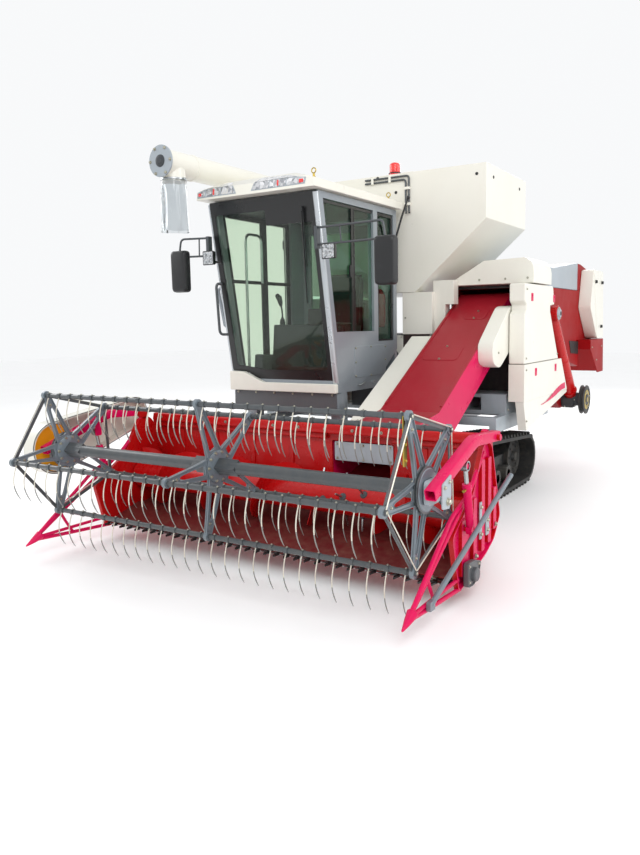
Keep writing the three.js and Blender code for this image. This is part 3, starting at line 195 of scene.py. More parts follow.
def plate(outline, start, end, axis="x"):
    """An outline carried straight from start to end along an axis."""
    return net(np.stack([lift(outline, start, axis), lift(outline, end, axis)]), round_v=True, caps=True)


def ring_plate(outer, inner, start, end, axis="x"):
    """A flat frame: the four lines outer-start, outer-end, inner-end, inner-start, joined in turn. Both have
    as many points."""
    lines = [lift(outer, start, axis), lift(outer, end, axis), lift(inner, end, axis),
        lift(inner, start, axis)]
    return net(np.stack(lines), round_u=True, round_v=True)


def block(x, y, z):
    """A box between two values on each axis."""
    return plate([(x[0], y[0]), (x[1], y[0]), (x[1], y[1]), (x[0], y[1])], z[0], z[1], "z")


print("nets of points ready")

# %% [markdown]
# ### Outlines
# Sheet parts and castings start as an outline in one plane. Its corners are rounded by a short curve, which
# is what a folding press or a mould leaves, and any number of outlines can then be carried straight.
# %% Outlines
def rounded(outline, radius, steps=4):
    """The outline with each corner C turned into the curve (1-t)^2 A + 2t(1-t) C + t^2 B, A and B at radius
    from C."""
    corner = np.asarray(outline, float)
    before, after = np.roll(corner, 1, 0) - corner, np.roll(corner, -1, 0) - corner
    reach = lambda d: corner + d / np.linalg.norm(d, axis=1)[:, None] * np.minimum(
        radius, np.linalg.norm(d, axis=1) * 0.48)[:, None]
    t = np.linspace(0, 1, steps + 1)[None, :, None]
    curve = (1 - t) ** 2 * reach(before)[:, None] + 2 * t * (1 - t) * corner[:, None] + t**2 * reach(after)[:,
        None]
    return curve.reshape(-1, corner.shape[1])


def bent(points, radius, steps=5):
    """An open path whose inner corners are rounded in the same way."""
    points = np.asarray(points, float)
    inner = rounded(points, radius, steps).reshape(len(points), steps + 1, 3)[1:-1]
    return np.vstack([points[:1], inner.reshape(-1, 3), points[-1:]])


def circle(centre, radius, sides=24, start=0.0, sweep=2 * math.pi):
    """Points (u, v) of a circle, or of an arc of it, about a centre."""
    angle = start + np.arange(sides) * sweep / (sides if sweep == 2 * math.pi else sides - 1)
    return np.stack([centre[0] + radius * np.cos(angle), centre[1] + radius * np.sin(angle)], -1)


def rectangle(u, v, radius=0.0, steps=4):
    """A rectangle between two values on each axis, with rounded corners when a radius is given."""
    outline = [(u[0], v[0]), (u[1], v[0]), (u[1], v[1]), (u[0], v[1])]
    return rounded(outline, radius, steps) if radius else np.array(outline, float)


print("outlines ready")

# %% [markdown]
# ### Copies and turns
# Bolts, tines and lugs repeat many times. One broadcast sum puts a small shape at every place at once,
# which keeps them in a single mesh, and a 3x3 matrix turns a shape before it is moved.
# %% Copies and turns
def copies(shape, places):
    """The same small shape at every place, as one broadcast sum."""
    points, quads, ends = shape
    places = np.asarray(places, float).reshape(-1, 3)
    n, k = len(points), np.arange(len(places))
    return (
        (points[None] + places[:, None]).reshape(-1, 3),
        (quads[None] + (k * n)[:, None, None]).reshape(-1, 4),
        [end + i * n for i in k for end in ends],
    )


def moved(shape, matrix=np.eye(3), by=(0, 0, 0)):
    """A shape turned by a 3x3 matrix and then shifted."""
    return shape[0] @ np.asarray(matrix, float).T + np.asarray(by, float), shape[1], shape[2]


def spin(axis, degrees):
    """The 3x3 matrix of a turn about x, y or z."""
    return np.array(Matrix.Rotation(math.radians(degrees), 3, axis.upper()))


def joined(*shapes):
    """Several shapes as one, each one's faces counted on from the points before it."""
    offsets = np.cumsum([0] + [len(s[0]) for s in shapes])
    quads = [s[1] + o for s, o in zip(shapes, offsets)]
    return (
        np.vstack([s[0] for s in shapes]),
        np.vstack(quads) if quads else np.zeros((0, 4), int),
        [end + o for s, o in zip(shapes, offsets) for end in s[2]],
    )


def mirrored(shape):
    """The shape and its mirror image across the machine's middle plane, x to -x."""
    return joined(shape, (shape[0] * [-1, 1, 1], shape[1][:, ::-1], [e[::-1] for e in shape[2]]))


print("copies and turns ready")

# %% [markdown]
# ## From arrays to pieces
# `build` makes the mesh, turns every closed shell's faces outwards, marks folds sharper than 35 degrees and
# hands the piece to the body that carries it. `soften` does the same for a part whose CAD shape is already
# right: it takes a copy, merges the loose corners and rolls its sharp edges, since pressed sheet and cast
# iron never end in a knife edge and a rolled edge is what catches the light.
# %% Build and soften
SHARP = math.radians(35)
pieces = {}


def tell(what):
    """Says what a cell has made and how many pieces there are so far."""
    print(what + ":", len(pieces), "pieces so far")


def finish_mesh(mesh, bevel):
    """Faces outwards, smooth shading up to the sharp angle."""
    work = bmesh.new()
    work.from_mesh(mesh)
    bmesh.ops.recalc_face_normals(work, faces=work.faces)
    work.to_mesh(mesh)
    work.free()
    mesh.shade_smooth()
    mesh.set_sharp_from_angle(angle=SHARP if not bevel else math.radians(60))


def add_bevel(piece, width, segments=2):
    """A live bevel along every edge that is sharper than SHARP."""
    roll = piece.modifiers.new("rolled_edge", "BEVEL")
    roll.width, roll.segments, roll.limit_method = width, segments, "ANGLE"
    roll.angle_limit, roll.harden_normals = SHARP, True
    roll.use_clamp_overlap = True


def place(name, mesh, material, body, slot, stands_for, bevel):
    """Puts a mesh in the scene as a piece: its material, its body and the parts that it stands for. The slot
    is not used."""
    piece = bpy.data.objects.new(name, mesh)
    scene.collection.objects.link(piece)
    mesh.materials.append(material)
    if bevel:
        add_bevel(piece, bevel)
    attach(piece, body)
    if stands_for:
        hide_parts(*([stands_for] if isinstance(stands_for, str) else stands_for))
    pieces[name] = piece
    return piece


def build(name, shapes, material, body="machine", slot=None, stands_for=(), bevel=0.0):
    """One piece from one or more shapes, placed from the datum."""
    points, quads, ends = joined(*shapes) if isinstance(shapes, list) else shapes
    mesh = bpy.data.meshes.new(name)
    mesh.from_pydata((points + DATUM).tolist(), [], quads.tolist() + [e.tolist() for e in ends])
    finish_mesh(mesh, bevel)
    return place(name, mesh, material, body, slot, stands_for, bevel)


def soften(node, material, slot, width=0.006, stands_for=None):
    """A merged copy of a CAD part with its edges rolled, standing for that part."""
    source = frame["nodes"][node]
    work = bmesh.new()
    work.from_mesh(source.data)
    bmesh.ops.remove_doubles(work, verts=work.verts, dist=1e-5)
    bmesh.ops.dissolve_limit(work, angle_limit=math.radians(0.6), verts=work.verts, edges=work.edges)
    bmesh.ops.triangulate(work, faces=[face for face in work.faces if len(face.verts) > 8])
    mesh = bpy.data.meshes.new(node + "_skin")
    work.to_mesh(mesh)
    work.free()
    mesh.shade_smooth()
    mesh.set_sharp_from_angle(angle=SHARP)
    return place(node + "_skin", mesh, material, source["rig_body"], slot, stands_for or node, width)


print("build and soften ready")

# %% [markdown]
# ### Bolts
# Covers and brackets are held by six-sided bolts with a plain washer. One turned profile with six sides
# gives the head and another gives the washer, and every row of bolts is the same pair at other places.
# %% Bolts
BOLT_HEAD = [(0, 0.5), (0.42, 0.5), (0.52, 0.42)]


def bolts(places, size, axis="x", sign=1, sides=6):
    """Six-sided bolt heads of that width at many places, each with a washer below it, standing out along an
    axis."""
    head = turned([(sign * (0.12 + h) * size, r * size) for h, r in BOLT_HEAD], (0, 0, 0), axis, sides)
    washer = turned([(0, 0.72 * size), (sign * 0.12 * size, 0.7 * size)], (0, 0, 0), axis, 12)
    return joined(copies(head, places), copies(washer, places))


print("bolts ready")

# %% [markdown]
# ## Finishes
# One group makes the look of sprayed sheet metal: a slow drift in tone, road dust that gathers low down and
# the fine ripple called orange peel. Brushed steel, rubber, moulded plastic and cloth get a group each. A
# group only gives out colour, roughness and relief; the shader itself stays in each material.
# %% Node helpers
def linear(code):
    """A colour written as RRGGBB in display values, as the linear light that a shader wants."""
    values = np.array([int(code[i:i + 2], 16) / 255 for i in (0, 2, 4)])
    return (*np.where(values <= 0.04045, values / 12.92, ((values + 0.055) / 1.055) ** 2.4).tolist(), 1.0)


def add(tree, kind, *wires, out=0, settings=None, **named):
    """A node with its inputs set or linked, in order or by name; returns one of its outputs."""
    node = tree.nodes.new("ShaderNode" + kind)
    for key, value in (settings or {}).items():
        setattr(node, key, value)
    pairs = list(enumerate(wires)) + [(k.replace("_", " "), v) for k, v in named.items()]
    for key, value in pairs:
        if isinstance(value, bpy.types.NodeSocket):
            tree.links.new(value, node.inputs[key])
        elif value is not None:
            node.inputs[key].default_value = value
    return node.outputs[out]


def maths(tree, operation, *wires):
    """One arithmetic node."""
    return add(tree, "Math", *wires, settings={"operation": operation})


def between(tree, share, first, second):
    """A colour that goes from first to second as share goes from 0 to 1."""
    return add(tree, "Mix", share, None, None, None, None, None, first, second, out=2,
        settings={"data_type": "RGBA"})


def spread(tree, value, low, high, start, end):
    """value between low and high stretched to run from start to end, and held there outside."""
    return add(tree, "MapRange", value, low, high, start, end)


def effect(name, inputs):
    """An empty group with those inputs and the three outputs Colour, Roughness and Height."""
    tree = bpy.data.node_groups.new(name, "ShaderNodeTree")
    for key, default in inputs.items():
        kind = "NodeSocketColor" if isinstance(default, tuple) else "NodeSocketFloat"
        tree.interface.new_socket(key, in_out="INPUT", socket_type=kind).default_value = default
    for key, kind in (("Colour", "NodeSocketColor"), ("Roughness", "NodeSocketFloat"),
        ("Height", "NodeSocketFloat")):
        tree.interface.new_socket(key, in_out="OUTPUT", socket_type=kind)
    given, result = tree.nodes.new("NodeGroupInput"), tree.nodes.new("NodeGroupOutput")
    where = add(tree, "TexCoord", out=3)
    give = lambda **wires: [tree.links.new(wire, result.inputs[key]) for key, wire in wires.items()]
    return tree, given.outputs, where, give


print("node helpers ready")

# %% [markdown]
# ### Effect groups
# Paint on such a machine is baked on at the works and then goes through dust, sun and mud, so its tone drifts
# slowly over a panel and its gloss drops low down. Each group takes a few plain numbers, makes those two
# changes from noise and height, and gives out colour, roughness and relief. A texture drawn by hand would
# need flattened surfaces, so the noise is worked out in space.
# %% Effect groups
GREY_MID = (0.5, 0.5, 0.5, 1.0)
DUST_TOP, PEEL_SCALE = 1.5, 190.0


def noise(tree, where, scale, detail=4.0, rough=0.5):
    """Fractal noise in space; a larger scale makes a finer pattern."""
    return add(tree, "TexNoise", Vector=where, Scale=scale, Detail=detail, Roughness=rough)


def stretched(tree, where, scale):
    """The position scaled on each axis, which draws a pattern out along the axes that are scaled least."""
    return add(tree, "Mapping", Vector=where, Scale=scale)


def sheet_paint():
    """Tone drifts with slow noise; dust is (1 - height) times a mix of fine grit and upright streaks."""
    tree, given, where, give = effect("sheet_paint", {
        "Colour": GREY_MID, "Shade": GREY_MID, "Dust": GREY_MID, "Dustiness": 0.2, "Roughness": 0.35})
    drift = spread(tree, noise(tree, where, 1.1, 3.0), 0.35, 0.68, 0.0, 0.55)
    toned = between(tree, drift, given["Colour"], given["Shade"])
    streaks = noise(tree, stretched(tree, where, (9.0, 9.0, 1.2)), 2.2, 6.0, 0.6)
    height = add(tree, "SeparateXYZ", where, out=2)
    low_down = spread(tree, height, 0.0, DUST_TOP, 1.0, 0.18)
    grit = spread(tree, noise(tree, where, 26.0, 8.0, 0.7), 0.42, 0.72, 0.0, 1.0)
    settled = maths(tree, "MULTIPLY", maths(tree, "MULTIPLY", low_down, given["Dustiness"]),
        maths(tree, "ADD", maths(tree, "MULTIPLY", grit, 0.7), spread(tree, streaks, 0.4, 0.75, 0.0, 0.9)))
    coloured = between(tree, settled, toned, given["Dust"])
    smudge = spread(tree, noise(tree, where, 5.0, 5.0, 0.65), 0.3, 0.75, -0.05, 0.09)
    rough = maths(tree, "ADD", maths(tree, "ADD", given["Roughness"], smudge),
        maths(tree, "MULTIPLY", settled, 0.45))
    peel = noise(tree, where, PEEL_SCALE, 2.0)
    give(Colour=coloured, Roughness=rough, Height=peel)
    return tree


print("effect groups ready")

# %% [markdown]
# ### Metal and rubber groups
# Drawn and rolled steel keeps fine lines along its run, and it stains where water has stood. Rubber holds
# dust in patches, since it is never wiped. Each group needs only two or three noises.
# %% Metal and rubber groups
def brushed_metal():
    """Grain drawn out along x, with stain where a blotchy noise passes its threshold."""
    tree, given, where, give = effect("brushed_metal", {
        "Colour": GREY_MID, "Stain": GREY_MID, "Staining": 0.25, "Roughness": 0.3})
    grain = noise(tree, stretched(tree, where, (3.0, 60.0, 60.0)), 14.0, 5.0, 0.6)
    blotch = spread(tree, noise(tree, where, 18.0, 6.0, 0.6), 0.45, 0.75, 0.0, 1.0)
    shown = between(tree, maths(tree, "MULTIPLY", blotch, given["Staining"]), given["Colour"], given["Stain"])
    rough = maths(tree, "ADD", given["Roughness"], spread(tree, grain, 0.25, 0.75, -0.08, 0.16))
    give(Colour=shown, Roughness=rough, Height=grain)
    return tree


def worn_rubber():
    """Dust is fine grit times large patches; both also move the roughness."""
    tree, given, where, give = effect("worn_rubber", {
        "Colour": GREY_MID, "Dust": GREY_MID, "Dustiness": 0.3, "Roughness": 0.75})
    grit = spread(tree, noise(tree, where, 34.0, 8.0, 0.7), 0.45, 0.75, 0.0, 1.0)
    patches = spread(tree, noise(tree, where, 4.5, 4.0), 0.35, 0.7, 0.0, 1.0)
    settled = maths(tree, "MULTIPLY", maths(tree, "MULTIPLY", grit, patches), given["Dustiness"])
    shown = between(tree, settled, given["Colour"], given["Dust"])
    rough = maths(tree, "ADD", given["Roughness"], spread(tree, grit, 0.0, 1.0, -0.08, 0.12))
    give(Colour=shown, Roughness=rough, Height=noise(tree, where, 120.0, 4.0, 0.7))
    return tree


print("metal and rubber groups ready")

# %% [markdown]
# ### Plastic, cloth and lens groups
# Moulded boxes have a fine cell grain, seat covers a plain weave, and lamps are pressed into facets. A cell
# texture makes the grain and the facets, and two waves make the weave; each facet's colour is tinted towards
# a painted glint, a painted highlight that stands for the light it catches one by one.
# %% Plastic, cloth and lens groups
def moulded_plastic():
    """The grain of small cells in relief, with paler scuffs where noise is high."""
    tree, given, where, give = effect("moulded_plastic",
        {"Colour": GREY_MID, "Scuff": GREY_MID, "Roughness": 0.5})
    grain = add(tree, "TexVoronoi", Vector=where, Scale=420.0)
    scuffs = spread(tree, noise(tree, where, 12.0, 7.0, 0.7), 0.55, 0.8, 0.0, 0.5)
    give(Colour=between(tree, scuffs, given["Colour"], given["Scuff"]),
        Roughness=maths(tree, "ADD", given["Roughness"], spread(tree, scuffs, 0.0, 0.5, -0.04, 0.15)),
        Height=grain)
    return tree


def woven_cloth():
    """Two wave patterns at right angles, multiplied, stand for warp and weft."""
    tree, given, where, give = effect("woven_cloth",
        {"Colour": GREY_MID, "Thread": GREY_MID, "Roughness": 0.85})
    warp = add(tree, "TexWave", Vector=where, Scale=150.0, Distortion=0.6, settings={"bands_direction": "X"},
        out=1)
    weft = add(tree, "TexWave", Vector=where, Scale=150.0, Distortion=0.6, settings={"bands_direction": "Z"},
        out=1)
    cross = maths(tree, "MULTIPLY", warp, weft)
    worn = spread(tree, noise(tree, where, 14.0, 5.0), 0.35, 0.7, 0.0, 0.5)
    give(Colour=between(tree, maths(tree, "MAXIMUM", cross, worn), given["Colour"], given["Thread"]),
        Roughness=maths(tree, "ADD", given["Roughness"], maths(tree, "MULTIPLY", cross, 0.1)), Height=cross)
    return tree


def facets():
    """Cells of their own tint each, as the facets of a lens or of a lamp's reflector; each cell's tint runs
    towards a bright painted glint, a painted highlight in its colour.
    """
    tree, given, where, give = effect("facets",
        {"Colour": GREY_MID, "Glint": GREY_MID, "Scale": 55.0, "Roughness": 0.1})
    cells = tree.nodes.new("ShaderNodeTexVoronoi")
    tree.links.new(where, cells.inputs["Vector"])
    tree.links.new(given["Scale"], cells.inputs["Scale"])
    tint = add(tree, "SeparateColor", cells.outputs["Color"])
    give(Colour=between(tree, tint, given["Colour"], given["Glint"]),
        Roughness=maths(tree, "ADD", given["Roughness"], maths(tree, "MULTIPLY", tint, 0.18)),
        Height=cells.outputs["Distance"])
    return tree


PAINT, METAL, RUBBER, PLASTIC, CLOTH, FACET = (
    make() for make in (sheet_paint, brushed_metal, worn_rubber, moulded_plastic, woven_cloth, facets))
print("effects:", [g.name for g in bpy.data.node_groups])


# %% [markdown]
# ### Paints, metals and plastics
# The machine has two main colours, a warm cream and a strong red, and a pink on the guards and arms. Grey
# covers the cab's frame and the reel. `finish_of` joins an effect group to a surface, and `paint` and `metal`
# are its two common cases, so that a colour later takes one row.
# %% Materials
def finish_of(name, group, values, relief=0.1, depth=0.0005, **surface):
    """A Principled surface fed by an effect group; every other value is plain on the shader."""
    made = bpy.data.materials.new(name)
    made.use_nodes = True
    tree = made.node_tree
    shader = tree.nodes["Principled BSDF"]
    source = tree.nodes.new("ShaderNodeGroup")
    source.node_tree = group
    for key, value in values.items():
        source.inputs[key].default_value = linear(value) if isinstance(value, str) else value
    tree.links.new(source.outputs["Colour"], shader.inputs["Base Color"])
    tree.links.new(source.outputs["Roughness"], shader.inputs["Roughness"])
    bump = tree.nodes.new("ShaderNodeBump")
    bump.inputs["Strength"].default_value, bump.inputs["Distance"].default_value = relief, depth
    tree.links.new(source.outputs["Height"], bump.inputs["Height"])
    tree.links.new(bump.outputs["Normal"], shader.inputs["Normal"])
    for key, value in surface.items():
        shader.inputs[key.replace("_", " ")].default_value = value
    return made


def paint(name, colour, shade, dust="9A8E78", dustiness=0.16, roughness=0.3, coat=0.35, **surface):
    """An enamel: the sheet paint group under a thin clear coat."""
    values = {"Colour": colour, "Shade": shade, "Dust": dust, "Dustiness": dustiness, "Roughness": roughness}
    return finish_of(name, PAINT, values, 0.12, 0.0004, Coat_Weight=coat, Coat_Roughness=0.12, **surface)


def metal(name, colour, stain, staining=0.25, roughness=0.3, metallic=1.0):
    """A bare or plated metal from the brushed group."""
    values = {"Colour": colour, "Stain": stain, "Staining": staining, "Roughness": roughness}
    return finish_of(name, METAL, values, 0.15, 0.0003, Metallic=metallic)


print("materials ready")

# %% [markdown]
# ### Colours
# Every colour is written once, as a display value, with a second tone that it drifts to. The names say what
# the paint is on, so a change of colour is made in one row. The red of the body's side has a low gloss and no
# clear coat, since broad light along it would wash the colour out.
# %% Colours
cream = paint("cream_enamel", "E9E7DD", "E0DDD0", "A99E86", 0.1, 0.32, 0.25)
header_red = paint("header_red_enamel", "BE0A0E", "9C070B", "6E4A38", 0.1, 0.26, 0.15,
    Specular_IOR_Level=0.25)
dull_red = paint("dull_red_enamel", "A31A2A", "8E1422", "8A6A5C", 0.1, 0.36, 0.15, Specular_IOR_Level=0.3)
body_red = paint("body_red_enamel", "9A0F14", "840B10", "7A4A40", 0.08, 0.42, 0.0, Specular_IOR_Level=0.08)
pan_red = paint("worn_pan_red", "6E1C20", "571619", "8A6A58", 0.3, 0.48, 0.0, Specular_IOR_Level=0.2)
rose = paint("rose_enamel", "D80A56", "BE0848", "8A5A58", 0.06, 0.28, 0.06, Specular_IOR_Level=0.14)
cab_grey = paint("cab_metallic_grey", "9199A0", "838B93", "8E8A80", 0.12, 0.34, 0.5, Metallic=0.25)
silver = paint("satin_silver", "C2C7CB", "AEB4B9", "8E8A80", 0.08, 0.28, 0.5, Metallic=0.7)
nose_grey = paint("nose_dark_grey", "55585C", "494C50", "7A746A", 0.14, 0.42, 0.2)
pale_grey = paint("frame_pale_grey", "A3ACB3", "929BA2", "7E776A", 0.24, 0.4, 0.2)
reel_grey = paint("reel_blue_grey", "727D86", "626C74", "7E776A", 0.18, 0.34, 0.4, Metallic=0.25)
bar_grey = paint("bar_dark_grey", "484D51", "3C4145", "7A7264", 0.2, 0.36, 0.3, Metallic=0.2)
dark_steel = paint("running_gear_black", "232528", "191B1E", "6A6356", 0.42, 0.52, 0.1)
trim_black = paint("trim_black", "131416", "0D0E10", "4A473F", 0.08, 0.3, 0.2)
iron = paint("engine_grey_iron", "4A4E52", "3A3E42", "5A5246", 0.35, 0.55, 0.0, Metallic=0.4)
bare_steel = metal("bare_steel", "B9BDBF", "7D756A", 0.3, 0.24)
tine_steel = metal("tine_pale_steel", "DAD6C8", "8A7C68", 0.45, 0.36, 0.35)
worn_tip = metal("worn_tine_tip", "8C8C88", "55524C", 0.35, 0.36, 0.4)
zinc = metal("yellow_zinc", "B9A04A", "8E8A6A", 0.35, 0.34)
plated = metal("plated_bolt", "B4B2A4", "8A8062", 0.35, 0.32)
amber = paint("amber_pulley", "F4A812", "E0960C", "8E7A50", 0.1, 0.34, 0.3)
rubber = finish_of("track_rubber_black", RUBBER, {
    "Colour": "1B1C1D", "Dust": "6B6254", "Dustiness": 0.55, "Roughness": 0.68}, 0.35, 0.0012)
belt_rubber = finish_of("belt_rubber_black", RUBBER, {
    "Colour": "0F1011", "Dust": "4A463E", "Dustiness": 0.2, "Roughness": 0.6}, 0.2, 0.0006)
plastic = finish_of("black_plastic_grain", PLASTIC, {
    "Colour": "191A1C", "Scuff": "34363A", "Roughness": 0.46}, 0.25, 0.0004)
lining = finish_of("cab_lining_grey", PLASTIC, {
    "Colour": "3A3E42", "Scuff": "4C5054", "Roughness": 0.62}, 0.25, 0.0004)
seat_cloth = finish_of("seat_cloth_grey", CLOTH, {
    "Colour": "2C2F33", "Thread": "4A4E54", "Roughness": 0.86}, 0.35, 0.0008, Sheen_Weight=0.25)
# Lens and reflector facets mix towards a bright painted glint: some facets are tinted near white or pale red
# as painted highlights.
red_lens = finish_of("red_lens", FACET, {
    "Colour": "D8161A", "Glint": "F04038", "Scale": 90.0, "Roughness": 0.12}, 0.3, 0.001, Coat_Weight=0.8)
lamp_glass = finish_of("lamp_reflector", FACET,
    { "Colour": "8E9298", "Glint": "F4F4F6", "Scale": 34.0, "Roughness": 0.08}, 0.8, 0.006, Metallic=0.75,
    Coat_Weight=1.0)
led = finish_of("led_reflector", FACET,
    { "Colour": "6E7276", "Glint": "D8DADC", "Scale": 70.0, "Roughness": 0.15}, 0.5, 0.003, Metallic=0.6,
    Coat_Weight=1.0)


print("colours ready")

# %% [markdown]
# Glass and film need light to pass. Each is one shader with plain transmission and metallic values, and only
# a faint noise moves its roughness, as dust and wiping do. The cab's glass is a pale green, and the film's
# crinkles are a stretched noise in its relief.
# %% Glass and film
def clear(name, tint, roughness, ior, streak):
    """A see-through surface whose colour drifts by a hair between tint and streak and whose roughness
    follows the wiping."""
    made = bpy.data.materials.new(name)
    made.use_nodes = True
    tree = made.node_tree
    shader = tree.nodes["Principled BSDF"]
    wiped = noise(tree, add(tree, "TexCoord", out=3), 3.0, 6.0, 0.6)
    tree.links.new(between(tree, wiped, linear(tint), linear(streak)), shader.inputs["Base Color"])
    tree.links.new(spread(tree, wiped, 0.35, 0.8, roughness, roughness + 0.05), shader.inputs["Roughness"])
    shader.inputs["Transmission Weight"].default_value = 1.0
    shader.inputs["IOR"].default_value = ior
    return made


tinted_glass = clear("cab_green_glass", "EAF4E7", 0.0, 1.35, "E5F1E2")
green_glass = clear("cab_side_glass_green", "BFE2CC", 0.0, 1.35, "B4DCC4")
film = clear("clear_sleeve_film", "D6DBDE", 0.03, 1.22, "B4BCC1")
film_tree, film_shader = film.node_tree, film.node_tree.nodes["Principled BSDF"]
film_shader.inputs["Coat Weight"].default_value = 1.0
crinkle = noise(film_tree, stretched(film_tree, add(film_tree, "TexCoord", out=3), (30.0, 30.0, 5.0)), 1.0,
    5.0, 0.6)
film_tree.links.new(add(film_tree, "Bump", Strength=0.9, Distance=0.012, Height=crinkle),
    film_shader.inputs["Normal"])
mirror_glass = metal("mirror_glass", "D8DCE0", "C8CCD0", 0.05, 0.03)
print(len(bpy.data.materials), "materials")

# %% [markdown]
# ## Floor
# A pale floor whose edge sits far outside every view. It is a stage piece, so it is no part of the machine.
# %% Floor
floor_line = np.linspace(-FLOOR_SIZE / 2, FLOOR_SIZE / 2, FLOOR_SEGMENTS)
floor_net = np.stack(np.meshgrid(floor_line, floor_line, [-0.001], indexing="ij"), -1)[:, :, 0]
floor_points, floor_quads, _ = net(floor_net)
floor_mesh = bpy.data.meshes.new("studio_floor")
floor_mesh.from_pydata(floor_points.tolist(), [], floor_quads.tolist())
studio_floor = bpy.data.objects.new("studio_floor", floor_mesh)
scene.collection.objects.link(studio_floor)
floor_mesh.materials.append(finish_of("pale_floor", PAINT,
    { "Colour": "FDFDFD", "Shade": "FAFAFA", "Dust": "F4F4F3", "Dustiness": 0.0, "Roughness": 0.55}, 0.05,
    0.0005))
tell("floor")

# %% [markdown]
# ## Sheet metal and castings that keep their CAD shape
# These parts are already the right shape, so each gets a skin with rolled edges and its paint. The width of
# the roll follows how the part is made: wide on plastic-like pressed covers, narrow on flat bars.
# %% Skins
SKINS = {  # node: (material, slot, edge roll)
    "radiator_cover": (cream, "cream_paint", 0.012), "thresher_hood": (cream, "cream_paint", 0.014),
    "thresher_cover_upper": (cream, "cream_paint", 0.012),
    "thresher_cover_lower": (cream, "cream_paint", 0.006),
    "rear_guard": (cream, "cream_paint", 0.022), "grain_tank": (cream, "cream_paint", 0.006),
    "tank_hatch": (cream, "cream_paint", 0.005), "elevator_casing": (cream, "cream_paint", 0.006),
    "unloader_riser": (cream, "cream_paint", 0.005), "cab_front_panel": (cream, "cream_paint", 0.008),
    "cab_roof": (cream, "cream_paint", 0.02), "feeder_guard_left": (cream, "cream_paint", 0.014),
    "feeder_guard_right": (cream, "cream_paint", 0.006),
    "thresher_body": (body_red, "red_paint", 0.008), "straw_outlet": (body_red, "red_paint", 0.008),
    "feeder_house": (dull_red, "red_paint", 0.006), "rear_hood": (pale_grey, "pale_grey_paint", 0.012),
    "chassis_frame": (pale_grey, "pale_grey_paint", 0.004),
    "track_frame_left": (dark_steel, "dark_steel", 0.005),
    "track_frame_right": (dark_steel, "dark_steel", 0.005), "drive_axle": (dark_steel, "dark_steel", 0.006),
    "engine_block": (iron, "engine_iron", 0.01), "fuel_tank": (plastic, "black_plastic", 0.016),
    "cab_frame": (cab_grey, "grey_paint", 0.005), "cab_door": (trim_black, "grey_paint", 0.002),
    "lift_barrel": (header_red, "red_paint", 0.002), "lift_rod": (bare_steel, "bare_steel", 0.001),
}
for part, (material, slot_name, roll) in SKINS.items():
    soften(part, material, slot_name, roll)
for pane in ("cab_windscreen", "cab_side_glass", "cab_rear_glass", "cab_door_glass"):
    frame["nodes"][pane].data.materials.clear()
    frame["nodes"][pane].data.materials.append(green_glass
        if pane in ("cab_side_glass", "cab_rear_glass") else tinted_glass)



def repaint(piece, material, chosen):
    """Give another paint to the faces that chosen(normals, middles) picks."""
    mesh = pieces[piece].data
    mesh.materials.append(material)
    normals, middles = np.zeros(len(mesh.polygons) * 3), np.zeros(len(mesh.polygons) * 3)
    mesh.polygons.foreach_get("normal", normals)
    mesh.polygons.foreach_get("center", middles)
    picked = chosen(normals.reshape(-1, 3), middles.reshape(-1, 3))
    mesh.polygons.foreach_set("material_index", picked.astype(int) * (len(mesh.materials) - 1))
    return int(picked.sum())


repaint("feeder_house_skin", rose, lambda normals, middles: normals[:, 0] > 0.7)
# The body's forward faces take the running-gear black as painted shade: a dark sheet for the shadow in the
# open front.
repaint("thresher_body_skin", dark_steel, lambda normals, middles: normals[:, 1] < -0.7)
print(len(SKINS), "skins")

# %% [markdown]
# ## Rubber tracks
# A rubber belt runs round three circles. The line round any set of circles is the point, in every direction,
# of the circle that reaches furthest that way, so one `argmax` gives the whole loop, straight runs included.
# The tread is one lug shape carried to evenly spaced places on that line. Each lug tapers and has a gap in
# the middle, where the guide teeth of the wheels run.
# %% Track loop
WHEELS = np.array([(-0.76, 0.385), (-0.6, 0.14), (0.84, 0.25)])
WHEEL_SIZES = np.array([0.18, 0.08, 0.19])
BELT_THICK, LUG_HIGH, LUG_COUNT, TRACK_WIDE = 0.032, 0.028, 52, 0.5
TRACK_SIDES = {"track_left": 0.55, "track_right": -0.65}


def belt_line(offset, count=240):
    """Evenly spaced points on the line round the wheels, with the outward direction at each."""
    turn = np.linspace(0, 2 * np.pi, 1440, endpoint=False)
    out = np.stack([np.cos(turn), np.sin(turn)], -1)
    which = np.argmax(out @ WHEELS.T + WHEEL_SIZES, axis=1)
    line = WHEELS[which] + out * WHEEL_SIZES[which][:, None]
    closed = np.vstack([line, line[:1]])
    gone = np.concatenate([[0], np.cumsum(np.linalg.norm(np.diff(closed, axis=0), axis=1))])
    stops = np.arange(count) * gone[-1] / count
    angle = np.interp(stops, gone, np.append(turn, 2 * np.pi))
    facing = np.stack([np.cos(angle), np.sin(angle)], -1)
    base = np.stack([np.interp(stops, gone, closed[:, k]) for k in (0, 1)], -1)
    return base + facing * offset, facing


def on_belt(shape, count, offset):
    """A shape drawn as (x, along, out), carried to count places round the belt line."""
    points, quads, ends = shape
    spot, facing = belt_line(offset, count)
    along = np.stack([-facing[:, 1], facing[:, 0]], -1)
    y = spot[:, None, 0] + points[None, :, 1] * along[:, None, 0] + points[None, :, 2] * facing[:, None, 0]
    z = spot[:, None, 1] + points[None, :, 1] * along[:, None, 1] + points[None, :, 2] * facing[:, None, 1]
    x = np.broadcast_to(points[None, :, 0], y.shape)
    n, k = len(points), np.arange(count)
    return (np.stack([x, y, z], -1).reshape(-1, 3), (quads[None] + (k * n)[:, None, None]).reshape(-1, 4),
        [end + i * n for i in k for end in ends])


